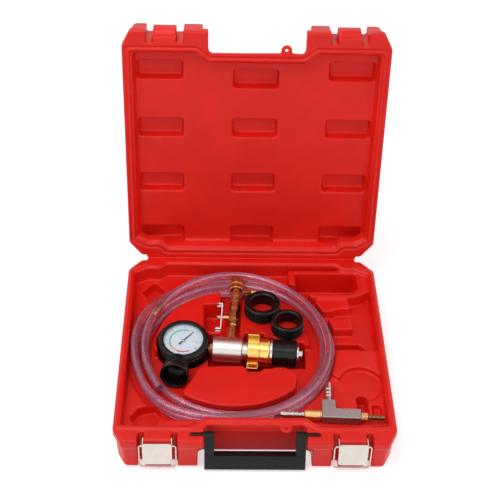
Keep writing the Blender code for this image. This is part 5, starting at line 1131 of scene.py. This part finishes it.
def nipple(length, tip_first):
    """Profile of a quick-connect nipple in millimetres, its groove near the tip."""
    outside = [(length * (s if tip_first else 1 - s), NIPPLE_RADIUS * r) for s, r in NIPPLE]
    ends = [(length, NIPPLE_BORE), (0, NIPPLE_BORE)]
    if not tip_first:
        ends.reverse()
    return outside + ends


class KIT_OT_venturi(bpy.types.Operator):
    """Makes the venturi: sawn block, air nipple, collar, quick nipple and barbed outlet"""
    bl_idname = "kit.venturi"
    bl_label = "Venturi"

    def execute(self, context):
        piece("venturi_bar", softened_copy("venturi_block", 0.35), "sawn_aluminium_bar", "venturi_block")
        air = revolve(nipple(33.0, False), VENTURI_FRAME @ moved_by(8.75, 22.55) @ ALONG_Y, soft=0.3)
        piece("air_nipple_turned", air, "turned_nipple_steel", "air_nipple")
        quick = revolve(nipple(30.0, True), VENTURI_FRAME @ moved_by(-52.1), soft=0.3)
        piece("quick_nipple_turned", quick, "turned_nipple_steel", "quick_nipple")
        piece("collar_turned", revolve(COLLAR, VENTURI_FRAME, soft=0.4), "bright_brass", "inlet_collar")
        piece("outlet_nut_hex", softened_copy("outlet_nut", 0.5), "bright_brass", "outlet_nut")
        barbs = [(BARB_START, 2.4)]
        for i in range(BARBS):
            barbs += [(BARB_START + BARB_PITCH * i + x, r) for x, r in BARB]
        barbs += [(78.1, 2.5), (78.1, 1.8), (BARB_START, 1.8)]
        piece("outlet_barbed", revolve(barbs, VENTURI_FRAME, soft=0.25), "dulled_brass", "outlet_barb")
        return {"FINISHED"}


class KIT_OT_stage(bpy.types.Operator):
    bl_idname = "kit.stage"
    bl_label = "Floor and lamps"

    def execute(self, context):
        stage = settings()[3]
        form = bmesh.new()
        bmesh.ops.create_grid(form, x_segments=1, y_segments=1, size=4.0)
        floor = linked("floor", as_mesh(form, "floor"))
        floor.data.materials.append(self.paper(stage))
        for name, place, size, power in LAMPS:
            data = bpy.data.lights.new(name, "AREA")
            data.shape = "SQUARE"
            data.size = size
            data.energy = power * (stage.key if name == "key_lamp" else stage.fill)
            lamp = linked(name, data)
            lamp.visible_camera = False
            lamp.location = place
            lamp.rotation_euler = (LAMPS_AIM - Vector(place)).to_track_quat("-Z", "Y").to_euler()
        world = bpy.data.worlds.new("even_light")
        world.use_nodes = True
        tree = world.node_tree
        seen = self.seen(tree)
        strength = add(tree, "ShaderNodeMapRange", {
            "Value": seen, "From Min": 0.0, "From Max": 1.0, "To Min": stage.world, "To Max": 1.0})
        back = tree.nodes["Background"]
        back.inputs["Color"].default_value = (1, 1, 1, 1)
        tree.links.new(strength.outputs["Result"], back.inputs["Strength"])
        context.scene.world = world
        context.scene.view_settings.view_transform = "Standard"
        return {"FINISHED"}

    @staticmethod
    def seen(tree):
        """One for camera, mirror and glass rays, which see the white backdrop itself."""
        path = add(tree, "ShaderNodeLightPath")
        both = add(tree, "ShaderNodeMath", {
            0: path.outputs["Is Camera Ray"], 1: path.outputs["Is Glossy Ray"]}, operation="MAXIMUM")
        return add(tree, "ShaderNodeMath", {0: both.outputs[0], 1: path.outputs["Is Transmission Ray"]},
                   operation="MAXIMUM").outputs[0]

    def paper(self, stage):
        material = bpy.data.materials.new("matt_paper")
        material.use_nodes = True
        tree = material.node_tree
        tree.nodes.remove(tree.nodes["Principled BSDF"])
        diffuse = add(tree, "ShaderNodeBsdfDiffuse", {"Color": (*stage.white, 1)})
        glow = add(tree, "ShaderNodeEmission", {"Color": (1, 1, 1, 1)})
        level = add(tree, "ShaderNodeMath", {0: self.seen(tree), 1: 0.5}, operation="MULTIPLY")
        tree.links.new(level.outputs[0], glow.inputs["Strength"])
        both = add(tree, "ShaderNodeAddShader", {0: diffuse.outputs[0], 1: glow.outputs[0]})
        tree.links.new(both.outputs[0], tree.nodes["Material Output"].inputs["Surface"])
        return material


OPERATORS = (
    KIT_OT_camera, KIT_OT_hose, KIT_OT_case, KIT_OT_handle, KIT_OT_latches, KIT_OT_gauge, KIT_OT_manifold,
    KIT_OT_clamp_nut, KIT_OT_valve, KIT_OT_adapters, KIT_OT_venturi, KIT_OT_stage,
)


class KIT_PT_panel(bpy.types.Panel):
    bl_idname = "KIT_PT_panel"
    bl_label = "Filler Kit"
    bl_space_type = "VIEW_3D"
    bl_region_type = "UI"
    bl_category = "Filler Kit"

    def draw(self, context):
        for operator in OPERATORS:
            self.layout.operator(operator.bl_idname)
        for group, names in zip(settings(), SETTINGS):
            for name in names:
                self.layout.prop(group, name)


GROUPS = (KitCaseSettings, KitHoseSettings, KitToolSettings, KitStageSettings)
POINTERS = ("kit_case", "kit_hose", "kit_tools", "kit_stage")
SETTINGS = [list(group.__annotations__) for group in GROUPS]


def register():
    """Registers the settings, the operators and the panel."""
    for group, pointer in zip(GROUPS, POINTERS):
        bpy.utils.register_class(group)
        setattr(bpy.types.Scene, pointer, PointerProperty(type=group))
    for kind in (*OPERATORS, KIT_PT_panel):
        bpy.utils.register_class(kind)


def unregister():
    """Removes what register added."""
    for kind in (KIT_PT_panel, *reversed(OPERATORS)):
        bpy.utils.unregister_class(kind)
    for group, pointer in zip(GROUPS, POINTERS):
        delattr(bpy.types.Scene, pointer)
        bpy.utils.unregister_class(group)


def main():
    """Makes every piece in order."""
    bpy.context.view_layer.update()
    register()
    for operator in OPERATORS:
        group, name = operator.bl_idname.split(".")
        getattr(getattr(bpy.ops, group), name)()


if __name__ == "__main__":
    main()
